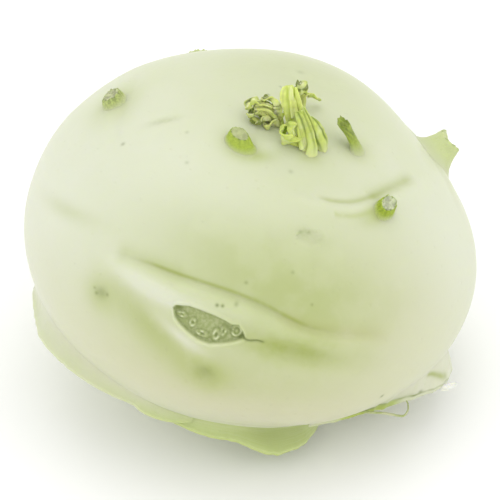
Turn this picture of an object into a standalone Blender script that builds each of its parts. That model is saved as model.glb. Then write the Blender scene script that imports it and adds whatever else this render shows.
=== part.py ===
"""A trimmed green kohlrabi.

The swollen stem is one solid, with the cushions, scars and hollows that its leaves leave on it.  The cut
stubs and bases of the leaves, and the small heart leaves on the crown, are solids of their own, each set
on the skin with a thin gap.

Lengths are in millimetres and angles in degrees up to the functions, which work in radians; MM turns
lengths to metres as each mesh is made.  The bulb has its own frame: its middle is the origin and +Z is
its growth axis.  A place on the skin is a polar angle from the crown and an azimuth round the axis.
"""

from math import acos, atan2, cos, exp, hypot, pi, radians, sin

import bmesh
import bpy
from mathutils import Euler, Matrix, Vector, noise
from mathutils.bvhtree import BVHTree

MM = 0.001

# The bulb
BULB_RADIUS = 55.0
BULB_HALF_HEIGHT = 39.3
CENTRE_HEIGHT = 37.5        # of the bulb's middle over the face that it rests on
LEAN = 13.0                 # of the growth axis, towards +X
BULB_FINENESS = 5           # subdivisions of the icosphere that the skin starts from
SKIN_TOLERANCE = 0.10       # how far the skin may depart from an edge before the edge is cut in two
SKIN_PASSES = 2
SHORTEST_CUT = 1.6          # the length of edge under which none is cut
FIT_GAP = 0.35              # between the skin and what is set on it
SEAT_REACH = 10.0           # from over the skin down to it, when a seat on it is looked for

# The root neck, cut level with the rest of the resting face
NECK_RADIUS = 15.0
NECK_SWELL = 2.4

# Slow unevenness of the skin
SWELL_HEIGHT = 0.45
SWELL_LENGTH = 21.0

# A leaf cushion's cross-section: a groove with a lip under it and a shallow valley over it
GROOVE_WIDTH = 1.3
LIP_DISTANCE = 3.4
LIP_WIDTH = 2.6
VALLEY_WIDTH = 9.0

STUB_SIDES = 14
STUB_RINGS = 5
STUB_FOOT_RINGS = (0.35, 0.7, 1.0)  # shares of the foot's width, so that it follows the skin
SHOOT_SIDES = 8

# Paints: colour and roughness
PALE_SKIN = (0.72, 0.75, 0.55), 0.38
CUT_GREEN = (0.42, 0.50, 0.24), 0.50
BASE_GREEN = (0.50, 0.56, 0.26), 0.42
HEART_YELLOW = (0.50, 0.60, 0.14), 0.40
HEART_GREEN = (0.17, 0.25, 0.07), 0.50
FIBRE_TAN = (0.60, 0.62, 0.36), 0.55


# ---------------------------------------------------------------- places on the bulb

class Spot:
    """A place on the bulb, which measures how far east and north of it another place lies."""

    def __init__(self, polar, azimuth):
        self.polar = radians(polar)
        self.azimuth = radians(azimuth)
        self.north_scale = hypot(BULB_RADIUS * cos(self.polar), BULB_HALF_HEIGHT * sin(self.polar))

    def offsets(self, polar, azimuth):
        turn = (azimuth - self.azimuth + pi) % (2 * pi) - pi
        east = turn * BULB_RADIUS * (sin(polar) + sin(self.polar)) / 2
        return east, (self.polar - polar) * self.north_scale

    def place(self, east, north):
        """The polar angle and azimuth that lie so far east and north of this spot."""
        polar = self.polar - north / self.north_scale
        turn = east / (BULB_RADIUS * (sin(polar) + sin(self.polar)) / 2)
        return polar, self.azimuth + turn


class Cushion(Spot):
    """The wide foot of a leaf: a crease that arches over the spot, with a swollen lip under it.

    line gives the crease's height north of the spot at places east of it.
    """

    def __init__(self, polar, azimuth, line, groove, lip, valley):
        super().__init__(polar, azimuth)
        self.line = line
        self.groove, self.lip, self.valley = groove, lip, valley

    def relief(self, polar, azimuth):
        east, north = self.offsets(polar, azimuth)
        end = self.line[-1][0] if east > 0 else self.line[0][0]
        along = east / end
        if along >= 1:
            return 0.0
        over = north - level_at(self.line, east)
        slope_width = VALLEY_WIDTH if over > 0 else GROOVE_WIDTH
        height = self.lip * exp(-((over + LIP_DISTANCE) / LIP_WIDTH) ** 2)
        height -= self.groove * exp(-(over / GROOVE_WIDTH) ** 2)
        height -= self.valley * exp(-(over / slope_width) ** 2)
        return height * (1 - along ** 2)


def arch(left, right, rise, drops):
    """The line of a crease that is so high over its spot and comes down so far at its two ends."""
    shares = (1.0, 0.75, 0.5, 0.25)
    west = [(-left * share, rise - drops[0] * share ** 2) for share in shares]
    east = [(right * share, rise - drops[1] * share ** 2) for share in reversed(shares)]
    return west + [(0.0, rise)] + east


class Scar(Spot):
    """The sunken lens that a leaf stalk broke or was cut from; its east end lies lower by slope."""

    def __init__(self, polar, azimuth, half_length, half_width, depth, slope=0.0):
        super().__init__(polar, azimuth)
        self.half_length, self.half_width = half_length, half_width
        self.depth, self.slope = depth, slope

    def relief(self, polar, azimuth):
        east, north = self.offsets(polar, azimuth)
        along = abs(east) / self.half_length
        if along >= 1:
            return 0.0
        across = abs(north + self.slope * east) / (self.half_width * (1 - along ** 2) ** 0.7 + 0.01)
        return -self.depth * (1 - smooth_step(0.65, 1.15, across))


class Mound(Spot):
    """A soft round rise, or a hollow where the height is negative."""

    def __init__(self, polar, azimuth, east_width, north_width, height, slope=0.0):
        super().__init__(polar, azimuth)
        self.widths = (east_width, north_width)
        self.height, self.slope = height, slope

    def relief(self, polar, azimuth):
        east, north = self.offsets(polar, azimuth)
        north += self.slope * east
        return self.height * exp(-(east / self.widths[0]) ** 2 - (north / self.widths[1]) ** 2)


class LeafScar(Spot):
    """The big sunken face that the front leaf was cut from; top and bottom are its edges."""

    def __init__(self, polar, azimuth, top, bottom, depth):
        super().__init__(polar, azimuth)
        self.top, self.bottom, self.depth = top, bottom, depth

    def relief(self, polar, azimuth):
        east, north = self.offsets(polar, azimuth)
        if not self.top[0][0] < east < self.top[-1][0]:
            return 0.0
        inside = min(level_at(self.top, east) - north, north - level_at(self.bottom, east))
        return -self.depth * smooth_step(-0.35, 0.65, inside)


def smooth_step(low, high, value):
    share = min(max((value - low) / (high - low), 0.0), 1.0)
    return share * share * (3 - 2 * share)


def level_at(keys, across):
    """The second number of the keys where the first is across, on straight lines between them."""
    if across <= keys[0][0]:
        return keys[0][1]
    for (x0, y0), (x1, y1) in zip(keys, keys[1:]):
        if across <= x1:
            return y0 + (y1 - y0) * (across - x0) / (x1 - x0)
    return keys[-1][1]


FRONT_LINE = [(-32.0, 3.6), (-28.8, 5.0), (-25.9, 5.9), (-23.3, 6.5), (-18.9, 7.3), (-15.3, 7.8), (-10.1, 8.35),
              (-3.65, 8.85), (3.0, 8.9), (9.5, 8.2), (14.7, 7.0), (19.9, 5.2), (24.8, 3.8), (31.5, 2.8),
              (36.6, 2.0), (41.6, 1.2), (48.0, -0.6)]
SHOULDER_LINE = [(-28.0, 10.6), (-17.2, 8.9), (-14.8, 7.8), (-12.2, 7.0), (-9.5, 6.3), (-6.5, 5.85), (-3.0, 5.5),
                 (0.6, 5.0), (5.1, 4.5), (9.3, 3.4), (14.0, 1.9), (18.7, -0.1), (24.0, -3.0)]

CUSHIONS = [
    Cushion(73.3, -104, FRONT_LINE, groove=0.55, lip=1.3, valley=1.0),
    Cushion(86, 119, arch(40, 34, 7.2, (8.0, 4.5)), groove=0.8, lip=1.8, valley=1.2),
    Cushion(38.2, -37.8, SHOULDER_LINE, groove=0.25, lip=0.7, valley=0.4),
    Cushion(47.2, 166, arch(15, 24, 3.6, (4.0, 5.0)), groove=0.12, lip=0.5, valley=0.3),
    Cushion(59.5, 28, arch(26, 26, 6.2, (5.0, 5.0)), groove=0.15, lip=0.4, valley=0.2),
    Cushion(63, 110, arch(22, 22, 4.0, (4.0, 4.0)), groove=0.6, lip=1.0, valley=0.6),
    Cushion(128, -73, arch(24, 20, 4.0, (3.0, 3.0)), groove=0.3, lip=0.5, valley=0.0),
]

MOUNDS = [
    Mound(0, 0, 17, 17, -0.8),                              # flattened crown
    Mound(46, 76, 24, 16, 1.7),                             # full shoulder at the back right
    Mound(60, 172, 16, 13, -0.7),
    Mound(62, -75, 22, 7.5, -0.9, slope=0.10),              # flank over the big cushion
    Mound(76.2, -79, 10.5, 2.6, -1.7, slope=0.12),          # groove that runs on from the big scar
    Mound(82.0, -118, 10.5, 4.2, -1.3, slope=0.35),         # hollow under its other end
    Mound(91.0, -101, 3.4, 3.0, -1.5),                      # bud eye below the scar
    Mound(81.0, -133, 3.0, 2.6, -1.0),                      # bud eye left of it
    Mound(80.0, -133, 7.0, 6.0, 0.6),
    Mound(69.5, -157, 11, 3.0, -0.5, slope=-0.42),          # shallow hollow on the left shoulder
    Mound(44, 44, 20, 12, 1.2),                             # shoulder over the right rim's stub
    Mound(80, -6, 16, 14, 0.9),
    Mound(86, 168, 16, 10, -0.9),
    Mound(102, -62, 22, 10, 0.7),
    Mound(98, 160, 18, 9, 0.4),
    Mound(130, -72, 32, 12, -1.9),                          # underside over the front leaf base
    Mound(119, -45, 15, 8, -1.7),                           # and under the right one
    Mound(56, 40, 20, 17, -2.2),                            # lower skin behind the right rim's stub
    Mound(40.5, -77, 4.0, 2.6, -0.35),
    Mound(31.7, -172, 1.1, 3.8, -0.35),                     # dent that an old leaf left
]

OLD_SCARS = [
    Scar(86, 119, 12.0, 3.4, 1.6, -0.04),
    Scar(128, 149.5, 9.0, 2.6, 1.0),
    Scar(133, 12, 8.5, 2.4, 0.9),
    Scar(139, -125.5, 7.0, 2.2, 0.8),
    Scar(143, 97, 6.5, 2.0, 0.8),
    Scar(40.2, -77, 3.6, 2.0, 0.35),
]

BIG_SCAR = LeafScar(
    73.3, -104,
    top=[(-8.9, 1.2), (-8.4, 2.0), (-7.3, 2.4), (-5.2, 3.1), (-2.5, 3.2), (1.2, 3.0), (3.9, 2.5), (5.5, 2.0),
         (7.2, 2.4), (8.6, 1.1), (9.7, -0.5)],
    bottom=[(-8.9, 1.2), (-7.8, -0.8), (-6.0, -2.0), (-3.8, -3.0), (-1.0, -3.9), (1.8, -4.0), (4.3, -3.1),
            (7.1, -1.9), (9.7, -0.5)],
    depth=0.85)

RELIEF = CUSHIONS + MOUNDS + OLD_SCARS + [BIG_SCAR]


def globe_point(polar, azimuth):
    across = BULB_RADIUS * sin(polar)
    return Vector((across * cos(azimuth), across * sin(azimuth), BULB_HALF_HEIGHT * cos(polar)))


def globe_normal(polar, azimuth):
    across = sin(polar) / BULB_RADIUS
    return Vector((across * cos(azimuth), across * sin(azimuth), cos(polar) / BULB_HALF_HEIGHT)).normalized()


def skin_point(polar, azimuth):
    """Where the skin is, in the bulb's frame."""
    point = globe_point(polar, azimuth)
    height = SWELL_HEIGHT * noise.noise(point / SWELL_LENGTH)
    height += sum(feature.relief(polar, azimuth) for feature in RELIEF)
    neck_distance = BULB_RADIUS * sin(polar) / NECK_RADIUS
    if polar > pi / 2 and neck_distance < 1.6:
        height += NECK_SWELL * (1 - smooth_step(0.7, 1.6, neck_distance))
    return point + globe_normal(polar, azimuth) * height


class Skin:
    """The faceted skin, on which the other pieces are set."""

    def __init__(self, shape):
        self.tree = BVHTree.FromBMesh(shape)

    def seat(self, polar, azimuth):
        """The point that lies the fitting gap over the skin."""
        normal = globe_normal(polar, azimuth)
        start = globe_point(polar, azimuth) + normal * SEAT_REACH
        hit = self.tree.ray_cast(start, -normal)[0]
        return hit + normal * FIT_GAP

    def keep_clear(self, point, height):
        """The point itself, or where it is lifted to so that it lies at least so high over the skin's gap."""
        polar, azimuth = place_of(point)
        seat, normal = self.seat(polar, azimuth), globe_normal(polar, azimuth)
        return point + normal * max(0.0, height - (point - seat).dot(normal))


def place_of(point):
    """The polar angle and azimuth of the skin under a point of the bulb's frame."""
    unit = Vector((point.x / BULB_RADIUS, point.y / BULB_RADIUS, point.z / BULB_HALF_HEIGHT)).normalized()
    return acos(max(-1.0, min(1.0, unit.z))), atan2(unit.y, unit.x)


# ---------------------------------------------------------------- making objects

def paint(name, colour, roughness):
    material = bpy.data.materials.new(name)
    material.use_nodes = True
    shader = material.node_tree.nodes["Principled BSDF"]
    shader.inputs["Base Color"].default_value = (*colour, 1.0)
    shader.inputs["Roughness"].default_value = roughness
    shader.inputs["Metallic"].default_value = 0.0
    return material


BULB_TO_WORLD = Matrix.Translation((0, 0, CENTRE_HEIGHT)) @ Euler((0, radians(LEAN), 0)).to_matrix().to_4x4()


def finish_object(name, shape, colour_and_roughness):
    """Turns a bmesh in the bulb's frame into an object in the world, in metres."""
    bmesh.ops.transform(shape, matrix=Matrix.Scale(MM, 4) @ BULB_TO_WORLD, verts=shape.verts[:])
    bmesh.ops.recalc_face_normals(shape, faces=shape.faces[:])
    mesh = bpy.data.meshes.new(name)
    shape.to_mesh(mesh)
    shape.free()
    piece = bpy.data.objects.new(name, mesh)
    bpy.context.scene.collection.objects.link(piece)
    mesh.materials.append(paint(name, *colour_and_roughness))
    mesh.shade_smooth()
    mesh.set_sharp_from_angle(angle=radians(50))
    return piece


def bridge_rings(shape, rings):
    """Joins rings of as many corners each with bands of faces."""
    for lower, upper in zip(rings, rings[1:]):
        for index in range(len(lower)):
            after = (index + 1) % len(lower)
            shape.faces.new((lower[index], lower[after], upper[after], upper[index]))


def cap_ring(shape, ring, middle):
    """Closes a ring with a fan of faces round a middle point."""
    centre = shape.verts.new(middle)
    for index in range(len(ring)):
        shape.faces.new((ring[index], ring[(index + 1) % len(ring)], centre))


def smooth_path(keys, share):
    """A point of the smooth curve through the keys, at a share from 0 to 1 along them."""
    place = share * (len(keys) - 1)
    index = min(int(place), len(keys) - 2)
    part = place - index
    before = keys[max(index - 1, 0)]
    start, end = keys[index], keys[index + 1]
    after = keys[min(index + 2, len(keys) - 1)]
    return [
        s + 0.5 * part * (e - b + part * (2 * b - 5 * s + 4 * e - a + part * (3 * (s - e) + a - b)))
        for b, s, e, a in zip(before, start, end, after)
    ]


# ---------------------------------------------------------------- the bulb

def cut_plane():
    """A point and the normal of the resting face's plane, in the bulb's leaning frame."""
    world_to_bulb = BULB_TO_WORLD.inverted()
    return world_to_bulb @ Vector((0, 0, 0)), world_to_bulb.to_3x3() @ Vector((0, 0, 1))


def unit_skin_point(unit):
    """The skin in the direction that a unit vector has on a globe drawn out to a ball."""
    unit = unit.normalized()
    return skin_point(acos(max(-1.0, min(1.0, unit.z))), atan2(unit.y, unit.x))


def edges_to_cut(shape):
    """The edges that the skin departs from, and those that cross the rim of the resting face."""
    floor_point, floor_up = cut_plane()
    on_skin = {vert: unit_skin_point(vert.co) for vert in shape.verts}
    chosen = []
    for edge in shape.edges:
        start, end = (on_skin[vert] for vert in edge.verts)
        length = (start - end).length
        sag = (unit_skin_point(edge.verts[0].co + edge.verts[1].co) - (start + end) / 2).length
        crosses = (start - floor_point).dot(floor_up) * (end - floor_point).dot(floor_up) < 0
        if length > SHORTEST_CUT and (sag > SKIN_TOLERANCE or crosses):
            chosen.append(edge)
    return chosen


def build_bulb():
    """Makes the bulb and returns its skin, for the other pieces to be set on."""
    shape = bmesh.new()
    bmesh.ops.create_icosphere(shape, subdivisions=BULB_FINENESS, radius=1.0)
    for _ in range(SKIN_PASSES):
        bmesh.ops.subdivide_edges(shape, edges=edges_to_cut(shape), cuts=1, use_grid_fill=True)
        bmesh.ops.triangulate(shape, faces=shape.faces[:])
        for vert in shape.verts:
            vert.co.normalize()
    for vert in shape.verts:
        vert.co = unit_skin_point(vert.co)
    skin = Skin(shape)
    floor_point, floor_up = cut_plane()
    cut = bmesh.ops.bisect_plane(
        shape, geom=shape.verts[:] + shape.edges[:] + shape.faces[:], dist=0.02,
        plane_co=floor_point, plane_no=floor_up, clear_inner=True)
    rim = [item for item in cut["geom_cut"] if isinstance(item, bmesh.types.BMEdge)]
    bmesh.ops.edgeloop_fill(shape, edges=rim)
    finish_object("bulb", shape, PALE_SKIN)
    return skin


# ---------------------------------------------------------------- leaf bases under the bulge

# Each key is: azimuth, polar angle of the upper root, radius and height of the rim, polar angle of the
# lower root, thickness of the rim.  The rim is the cut edge of the leaf stalk's foot.
LEFT_BASE = [
    (-186, 108, 46.0, -19.6, 120, 0.9),
    (-175, 107, 48.2, -20.6, 127, 1.0),
    (-168, 107, 50.0, -19.8, 130, 1.0),
    (-162, 110, 50.0, -22.4, 131, 1.0),
    (-154, 113, 51.0, -23.0, 132, 1.0),
    (-146, 116, 50.0, -23.6, 133, 1.0),
    (-138, 118, 48.7, -24.1, 134, 1.0),
    (-129, 121, 46.3, -24.9, 134, 1.0),
    (-121, 124, 43.8, -25.8, 135, 0.9),
    (-116, 126, 44.3, -26.2, 135, 0.9),
    (-106, 128, 42.4, -26.6, 135, 0.9),
]
FRONT_BASE = [
    (-104.4, 132, 40.4, -28.3, 139, 0.9),
    (-94, 131, 41.2, -28.5, 141, 1.0),
    (-85, 132, 41.4, -28.5, 142, 1.0),
    (-78, 132, 44.3, -28.5, 143, 1.0),
    (-73, 132, 45.6, -28.5, 143, 1.0),
    (-68, 132, 44.5, -28.5, 143, 1.0),
    (-61, 132, 42.6, -28.4, 142, 1.0),
    (-51, 131, 38.2, -28.0, 138, 0.9),
]
RIGHT_BASE = [
    (-62, 122, 42.6, -23.0, 128, 0.9),
    (-56, 117, 44.0, -21.6, 127, 1.2),
    (-49.5, 112, 45.5, -20.0, 126, 1.6),
    (-44.6, 108, 47.2, -18.6, 125, 1.6),
    (-39.4, 105, 48.8, -17.5, 124, 2.5),
    (-34.0, 101, 51.5, -16.0, 123, 2.2),
    (-29.7, 98, 54.2, -15.2, 122, 1.8),
    (-24.9, 97, 56.4, -14.3, 121, 1.5),
    (-19.5, 99, 56.8, -14.3, 120, 1.4),
    (-13.5, 103, 55.7, -15.6, 120, 1.4),
    (-7.5, 106, 53.4, -16.4, 119, 1.2),
    (4, 108, 52.0, -17.3, 118, 1.0),
    (18, 109, 49.6, -18.6, 117, 0.9),
]
BACK_BASE = [
    (36, 109, 48.6, -19.0, 121, 0.9),
    (48, 108, 50.8, -20.0, 124, 1.0),
    (60, 107, 52.8, -21.0, 126, 1.0),
    (72, 107, 53.2, -21.0, 127, 1.0),
    (84, 108, 51.4, -20.6, 126, 1.0),
    (97, 110, 48.4, -19.6, 122, 0.9),
]
THINNEST = 0.8              # of a leaf base where its rim runs out on the skin
BASE_STEP = 2.6             # between a leaf base's sections, along the rim
# Corners of a leaf base's top: share of the way from its root to the rim, and least height over the gap
BASE_TOP = ((0.2, 0.25), (0.45, 0.5), (0.72, 0.7))
TORN_STRIP = [(50.6, -21.2, -16.0, 0.7), (51.8, -23.0, -15.4, 0.9), (53.4, -23.1, -14.8, 0.8),
              (54.7, -22.6, -14.0, 0.5)]


def leaf_base_section(skin, key, flare):
    """One section of a leaf base, upper root to rim to lower root and back along the skin.

    The top leaves the skin along the skin, then swings out by flare to the rim.
    """
    azimuth, upper_polar, rim_radius, rim_height, lower_polar, thickness = key
    turn = radians(azimuth)
    upper, lower = radians(upper_polar), radians(lower_polar)
    root_top = skin.seat(upper, turn)
    root_low = skin.seat(lower, turn)
    down_skin = (globe_point(upper + 0.05, turn) - globe_point(upper, turn)).normalized()
    out = Vector((cos(turn), sin(turn), 0.0))
    up = Vector((0, 0, 1))
    ridge = out * rim_radius + up * rim_height
    span = (ridge - root_top).length
    leave = root_top + down_skin * 0.45 * span
    straight = (ridge - root_top).normalized()
    arrive = ridge - straight.lerp(out * 0.8 - up * 0.6, flare) * 0.3 * span
    edge = ridge - out * 0.15 * thickness - up * thickness
    ridge, edge = (skin.keep_clear(point, THINNEST) for point in (ridge, edge))
    top = [root_top]
    for share, least in BASE_TOP:
        rest = 1 - share
        point = (root_top * rest ** 3 + leave * 3 * rest ** 2 * share
                 + arrive * 3 * rest * share ** 2 + ridge * share ** 3)
        top.append(skin.keep_clear(point, least))
    return top + [
        ridge,
        edge,
        skin.keep_clear(edge.lerp(root_low, 0.5) + up * 0.3, 0.4),
        root_low,
        skin.seat(upper + (lower - upper) * 0.75, turn),
        skin.seat(upper + (lower - upper) * 0.5, turn),
        skin.seat(upper + (lower - upper) * 0.25, turn),
    ]


def leaf_base_shape(skin, keys, flare):
    span = radians(keys[-1][0] - keys[0][0]) * max(key[2] for key in keys)
    sections = round(span / BASE_STEP)
    shape = bmesh.new()
    rings = []
    for index in range(sections + 1):
        section = leaf_base_section(skin, smooth_path(keys, index / sections), flare)
        rings.append([shape.verts.new(point) for point in section])
    bridge_rings(shape, rings)
    shape.faces.new(rings[0])
    shape.faces.new(rings[-1])
    return shape


# ---------------------------------------------------------------- cut stubs of leaf stalks

def build_stub(skin, name, spot, levels, rim):
    """A leaf stalk cut short.

    levels are height, half-widths east and north, and lean east and north, from the foot up.  rim gives
    the cut edge's extra height at turns from -180 to 180 degrees round the stub, counted from east.
    """
    base = skin.seat(spot.polar, spot.azimuth)
    up = globe_normal(spot.polar, spot.azimuth)
    east_way = Vector((-sin(spot.azimuth), cos(spot.azimuth), 0.0))
    north_way = up.cross(east_way)
    turns = [2 * pi * index / STUB_SIDES - pi for index in range(STUB_SIDES)]

    def ring_at(share, width_share=1.0):
        height, wide, deep, lean_east, lean_north = smooth_path(levels, share)
        ring = []
        for turn in turns:
            east = lean_east + wide * width_share * cos(turn)
            north = lean_north + deep * width_share * sin(turn)
            rise = height + level_at(rim, turn * 180 / pi) * share ** 2
            on_skin = skin.seat(*spot.place(east, north))
            level_point = base + east_way * east + north_way * north
            point = on_skin.lerp(level_point, smooth_step(0.0, 0.7, share)) + up * rise
            ring.append(shape.verts.new(skin.keep_clear(point, min(rise, 0.3)) if share else point))
        return ring

    shape = bmesh.new()
    rings = [ring_at(0.0, width_share) for width_share in STUB_FOOT_RINGS]
    rings += [ring_at(level / STUB_RINGS) for level in range(1, STUB_RINGS + 1)]
    bridge_rings(shape, rings)
    cap_ring(shape, rings[0], base)
    height, _, _, lean_east, lean_north = levels[-1]
    cap_ring(shape, rings[-1], base + east_way * lean_east + north_way * lean_north + up * (height - 0.3))
    return finish_object(name, shape, CUT_GREEN)


# ---------------------------------------------------------------- heart leaves

def shoot_shape(keys, steps, side_way, skin=None):
    """A tapering shoot swept along a curve, with its foot set on the skin if one is given.  A key is
    x, y, z, half-width along side_way, half-thickness."""
    shape = bmesh.new()
    side_way = Vector(side_way).normalized()
    rings = []
    for step in range(steps + 1):
        share = step / steps
        *point, half_width, half_thickness = smooth_path(keys, share)
        ahead = Vector(smooth_path(keys, min(share + 0.02, 1.0))[:3])
        behind = Vector(smooth_path(keys, max(share - 0.02, 0.0))[:3])
        tangent = (ahead - behind).normalized()
        across = (side_way - tangent * side_way.dot(tangent)).normalized()
        face = tangent.cross(across)
        ring = []
        for index in range(SHOOT_SIDES):
            turn = 2 * pi * index / SHOOT_SIDES
            ring.append(Vector(point) + across * half_width * cos(turn) + face * half_thickness * sin(turn))
        if skin:
            ring = [skin.keep_clear(corner, 0.2) if step else skin.seat(*place_of(corner)) for corner in ring]
        rings.append([shape.verts.new(corner) for corner in ring])
    bridge_rings(shape, rings)
    shape.faces.new(rings[0])
    shape.faces.new(rings[-1])
    return shape


def blade_shape(keys, steps, side_way, columns, thickness, waves, wave_height, curl, lobes, lobe_depth):
    """A leaf blade along a curve, waved more towards its edges.  A key is x, y, z, half-width."""
    side_way = Vector(side_way).normalized()
    shape = bmesh.new()
    faces_of_blade = []
    for side in (0.5, -0.5):
        grid = []
        for step in range(steps + 1):
            share = step / steps
            *point, half_width = smooth_path(keys, share)
            ahead = Vector(smooth_path(keys, min(share + 0.02, 1.0))[:3])
            behind = Vector(smooth_path(keys, max(share - 0.02, 0.0))[:3])
            tangent = (ahead - behind).normalized()
            across = (side_way - tangent * side_way.dot(tangent)).normalized()
            face = tangent.cross(across)
            half_width *= 1 - lobe_depth * (0.5 + 0.5 * cos(2 * pi * lobes * share))
            row = []
            for column in range(columns + 1):
                wide = 2 * column / columns - 1
                wave = wave_height * wide * wide * sin(2 * pi * waves * share + 1.3 * wide)
                rise = curl * wide * wide + wave + side * thickness
                row.append(shape.verts.new(Vector(point) + across * half_width * wide + face * rise))
            grid.append(row)
        faces_of_blade.append(grid)
        for lower, upper in zip(grid, grid[1:]):
            for column in range(columns):
                shape.faces.new((lower[column], lower[column + 1], upper[column + 1]))
                shape.faces.new((lower[column], upper[column + 1], upper[column]))
    front, back = faces_of_blade
    edge_front = outline_of(front)
    edge_back = outline_of(back)
    bridge_rings(shape, [edge_front, edge_back])
    return shape


def outline_of(grid):
    """The corners round a grid's edge, in order."""
    right = [row[-1] for row in grid]
    left = [row[0] for row in reversed(grid)]
    return grid[0][:-1] + right + grid[-1][-2:0:-1] + left[:-1] + []


def fuse(name, shapes, colour_and_roughness, solver="EXACT"):
    """One solid out of shapes that run into each other."""
    pieces = [finish_object(f"{name}_{index}", shape, colour_and_roughness) for index, shape in enumerate(shapes)]
    trunk = pieces[0]
    group = bpy.data.collections.new(name)
    bpy.context.scene.collection.children.link(group)
    for piece in pieces[1:]:
        bpy.context.scene.collection.objects.unlink(piece)
        group.objects.link(piece)
    union = trunk.modifiers.new("union", "BOOLEAN")
    union.operation = "UNION"
    union.operand_type = "COLLECTION"
    union.collection = group
    union.solver = solver
    bpy.context.view_layer.update()
    joined = bpy.data.meshes.new_from_object(trunk.evaluated_get(bpy.context.evaluated_depsgraph_get()))
    for piece in pieces:
        bpy.data.objects.remove(piece)
    bpy.data.collections.remove(group)
    joined.materials.clear()
    joined.materials.append(paint(name, *colour_and_roughness))
    result = bpy.data.objects.new(name, joined)
    bpy.context.scene.collection.objects.link(result)
    return result


def build_heart(skin):
    """The young leaves on the crown, cut short by the grower."""
    stalk = shoot_shape(
        [(2.2, -4.2, 38.6, 2.4, 2.0), (1.9, -4.4, 40.6, 2.1, 1.7), (0.7, -4.4, 43.4, 2.4, 1.5),
         (-0.6, -3.5, 46.2, 2.1, 1.2), (-1.3, -2.5, 48.4, 1.5, 0.8), (-1.6, -2.1, 49.2, 1.1, 0.6)],
        9, (1, 0.15, 0), skin)
    finish_object("heart_stalk", stalk, HEART_YELLOW)
    fuse("heart_leaf_left", [
        shoot_shape([(-3.2, -3.8, 38.4, 1.8, 1.7), (-3.4, -3.8, 40.0, 1.6, 1.5), (-3.8, -3.6, 42.0, 1.1, 1.0)],
                    3, (1, 0, 0), skin),
        shoot_shape([(-3.4, -3.3, 40.1, 1.3, 1.2), (-4.6, -3.6, 41.1, 2.2, 1.6), (-6.4, -3.7, 42.0, 2.4, 1.7),
                     (-8.4, -3.9, 41.9, 1.4, 1.0)], 6, (0.4, -0.8, 0.5)),
        blade_shape([(-3.2, -2.8, 40.4, 1.2), (-5.2, -3.7, 41.9, 2.0), (-7.6, -3.7, 43.5, 2.5), (-9.4, -3.8, 42.8, 2.0),
                     (-9.8, -4.3, 41.4, 1.0)], 12, (0.4, -0.8, 0.5), 8, 0.9, 3.0, 0.5, 0.6, 4, 0.2),
        blade_shape([(-3.2, -3.5, 40.3, 1.0), (-5.5, -4.3, 41.2, 1.7), (-7.8, -4.9, 41.0, 2.1), (-9.3, -5.0, 40.2, 1.0)],
                    8, (0.4, -0.7, 0.6), 6, 0.9, 2.0, 0.5, 0.6, 4, 0.2),
        blade_shape([(-3.4, -3.9, 40.3, 1.0), (-4.8, -4.9, 40.6, 1.5), (-6.6, -5.7, 40.8, 1.7), (-7.2, -6.4, 40.3, 0.9)],
                    8, (0.7, -0.5, 0.5), 6, 0.9, 2.0, 0.4, 0.5, 3, 0.2),
        blade_shape([(-3.2, -3.2, 40.2, 1.1), (-4.2, -3.6, 43.1, 1.8), (-5.6, -3.4, 44.5, 1.8), (-7.0, -3.2, 44.2, 0.9)],
                    8, (0.3, -0.8, 0.6), 6, 0.9, 2.0, 0.5, 0.6, 3, 0.2),
    ], HEART_GREEN, "MANIFOLD")
    fuse("heart_leaf_back", [
        shoot_shape([(3.6, 5.0, 38.4, 1.6, 1.4), (3.5, 5.1, 40.2, 1.3, 1.1), (3.3, 5.0, 42.2, 0.9, 0.8)],
                    3, (1, 0, 0), skin),
        blade_shape([(3.4, 5.0, 40.2, 0.9), (3.2, 4.8, 42.2, 1.6), (2.7, 4.4, 44.4, 1.8), (1.9, 4.0, 46.0, 0.9)],
                    6, (1, 0.2, 0), 6, 0.9, 1.5, 0.4, 0.7, 3, 0.2),
        blade_shape([(3.6, 5.2, 40.4, 0.9), (4.9, 5.3, 42.0, 1.1), (6.6, 6.1, 41.2, 1.0), (8.6, 7.8, 39.9, 0.5)],
                    6, (0.3, -0.5, 0.8), 4, 0.9, 1.5, 0.2, 0.3, 2, 0.1),
    ], HEART_GREEN, "MANIFOLD")
    fuse("heart_shoots", [
        shoot_shape([(6.5, -13.0, 37.6, 2.6, 2.0), (6.2, -11.6, 39.6, 1.5, 1.2), (5.0, -10.0, 42.0, 1.2, 0.9),
                     (3.8, -8.8, 44.2, 1.0, 0.7), (2.9, -7.8, 46.0, 0.6, 0.4)], 9, (1, 0.3, 0), skin),
        shoot_shape([(5.1, -10.9, 38.4, 1.6, 1.4), (4.2, -10.0, 40.6, 1.3, 1.2), (2.2, -9.1, 44.4, 1.1, 0.9),
                     (1.1, -8.3, 46.0, 0.6, 0.5)], 7, (1, 0.3, 0), skin),
        shoot_shape([(9.9, -9.7, 38.0, 1.4, 1.2), (7.9, -9.4, 40.4, 1.8, 1.2), (6.2, -8.5, 42.8, 1.4, 1.0),
                     (4.7, -7.2, 44.4, 0.8, 0.6)], 7, (1, 0.6, 0), skin),
        blade_shape([(4.2, -10.6, 40.0, 1.2), (0.6, -12.1, 40.8, 1.8), (-1.5, -11.5, 41.9, 2.2), (-0.9, -10.3, 43.4, 1.5)],
                    8, (0.5, 0.3, -0.8), 6, 0.9, 1.5, 0.4, -1.0, 2, 0.15),
        blade_shape([(4.2, -10.3, 39.9, 1.1), (1.9, -11.0, 41.2, 1.6), (0.9, -10.5, 42.7, 1.7), (1.4, -9.7, 43.9, 1.0)],
                    8, (0.6, 0.3, -0.7), 6, 0.9, 2.0, 0.3, 0.6, 3, 0.15),
    ], HEART_GREEN, "MANIFOLD")


# ---------------------------------------------------------------- the whole kohlrabi

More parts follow.
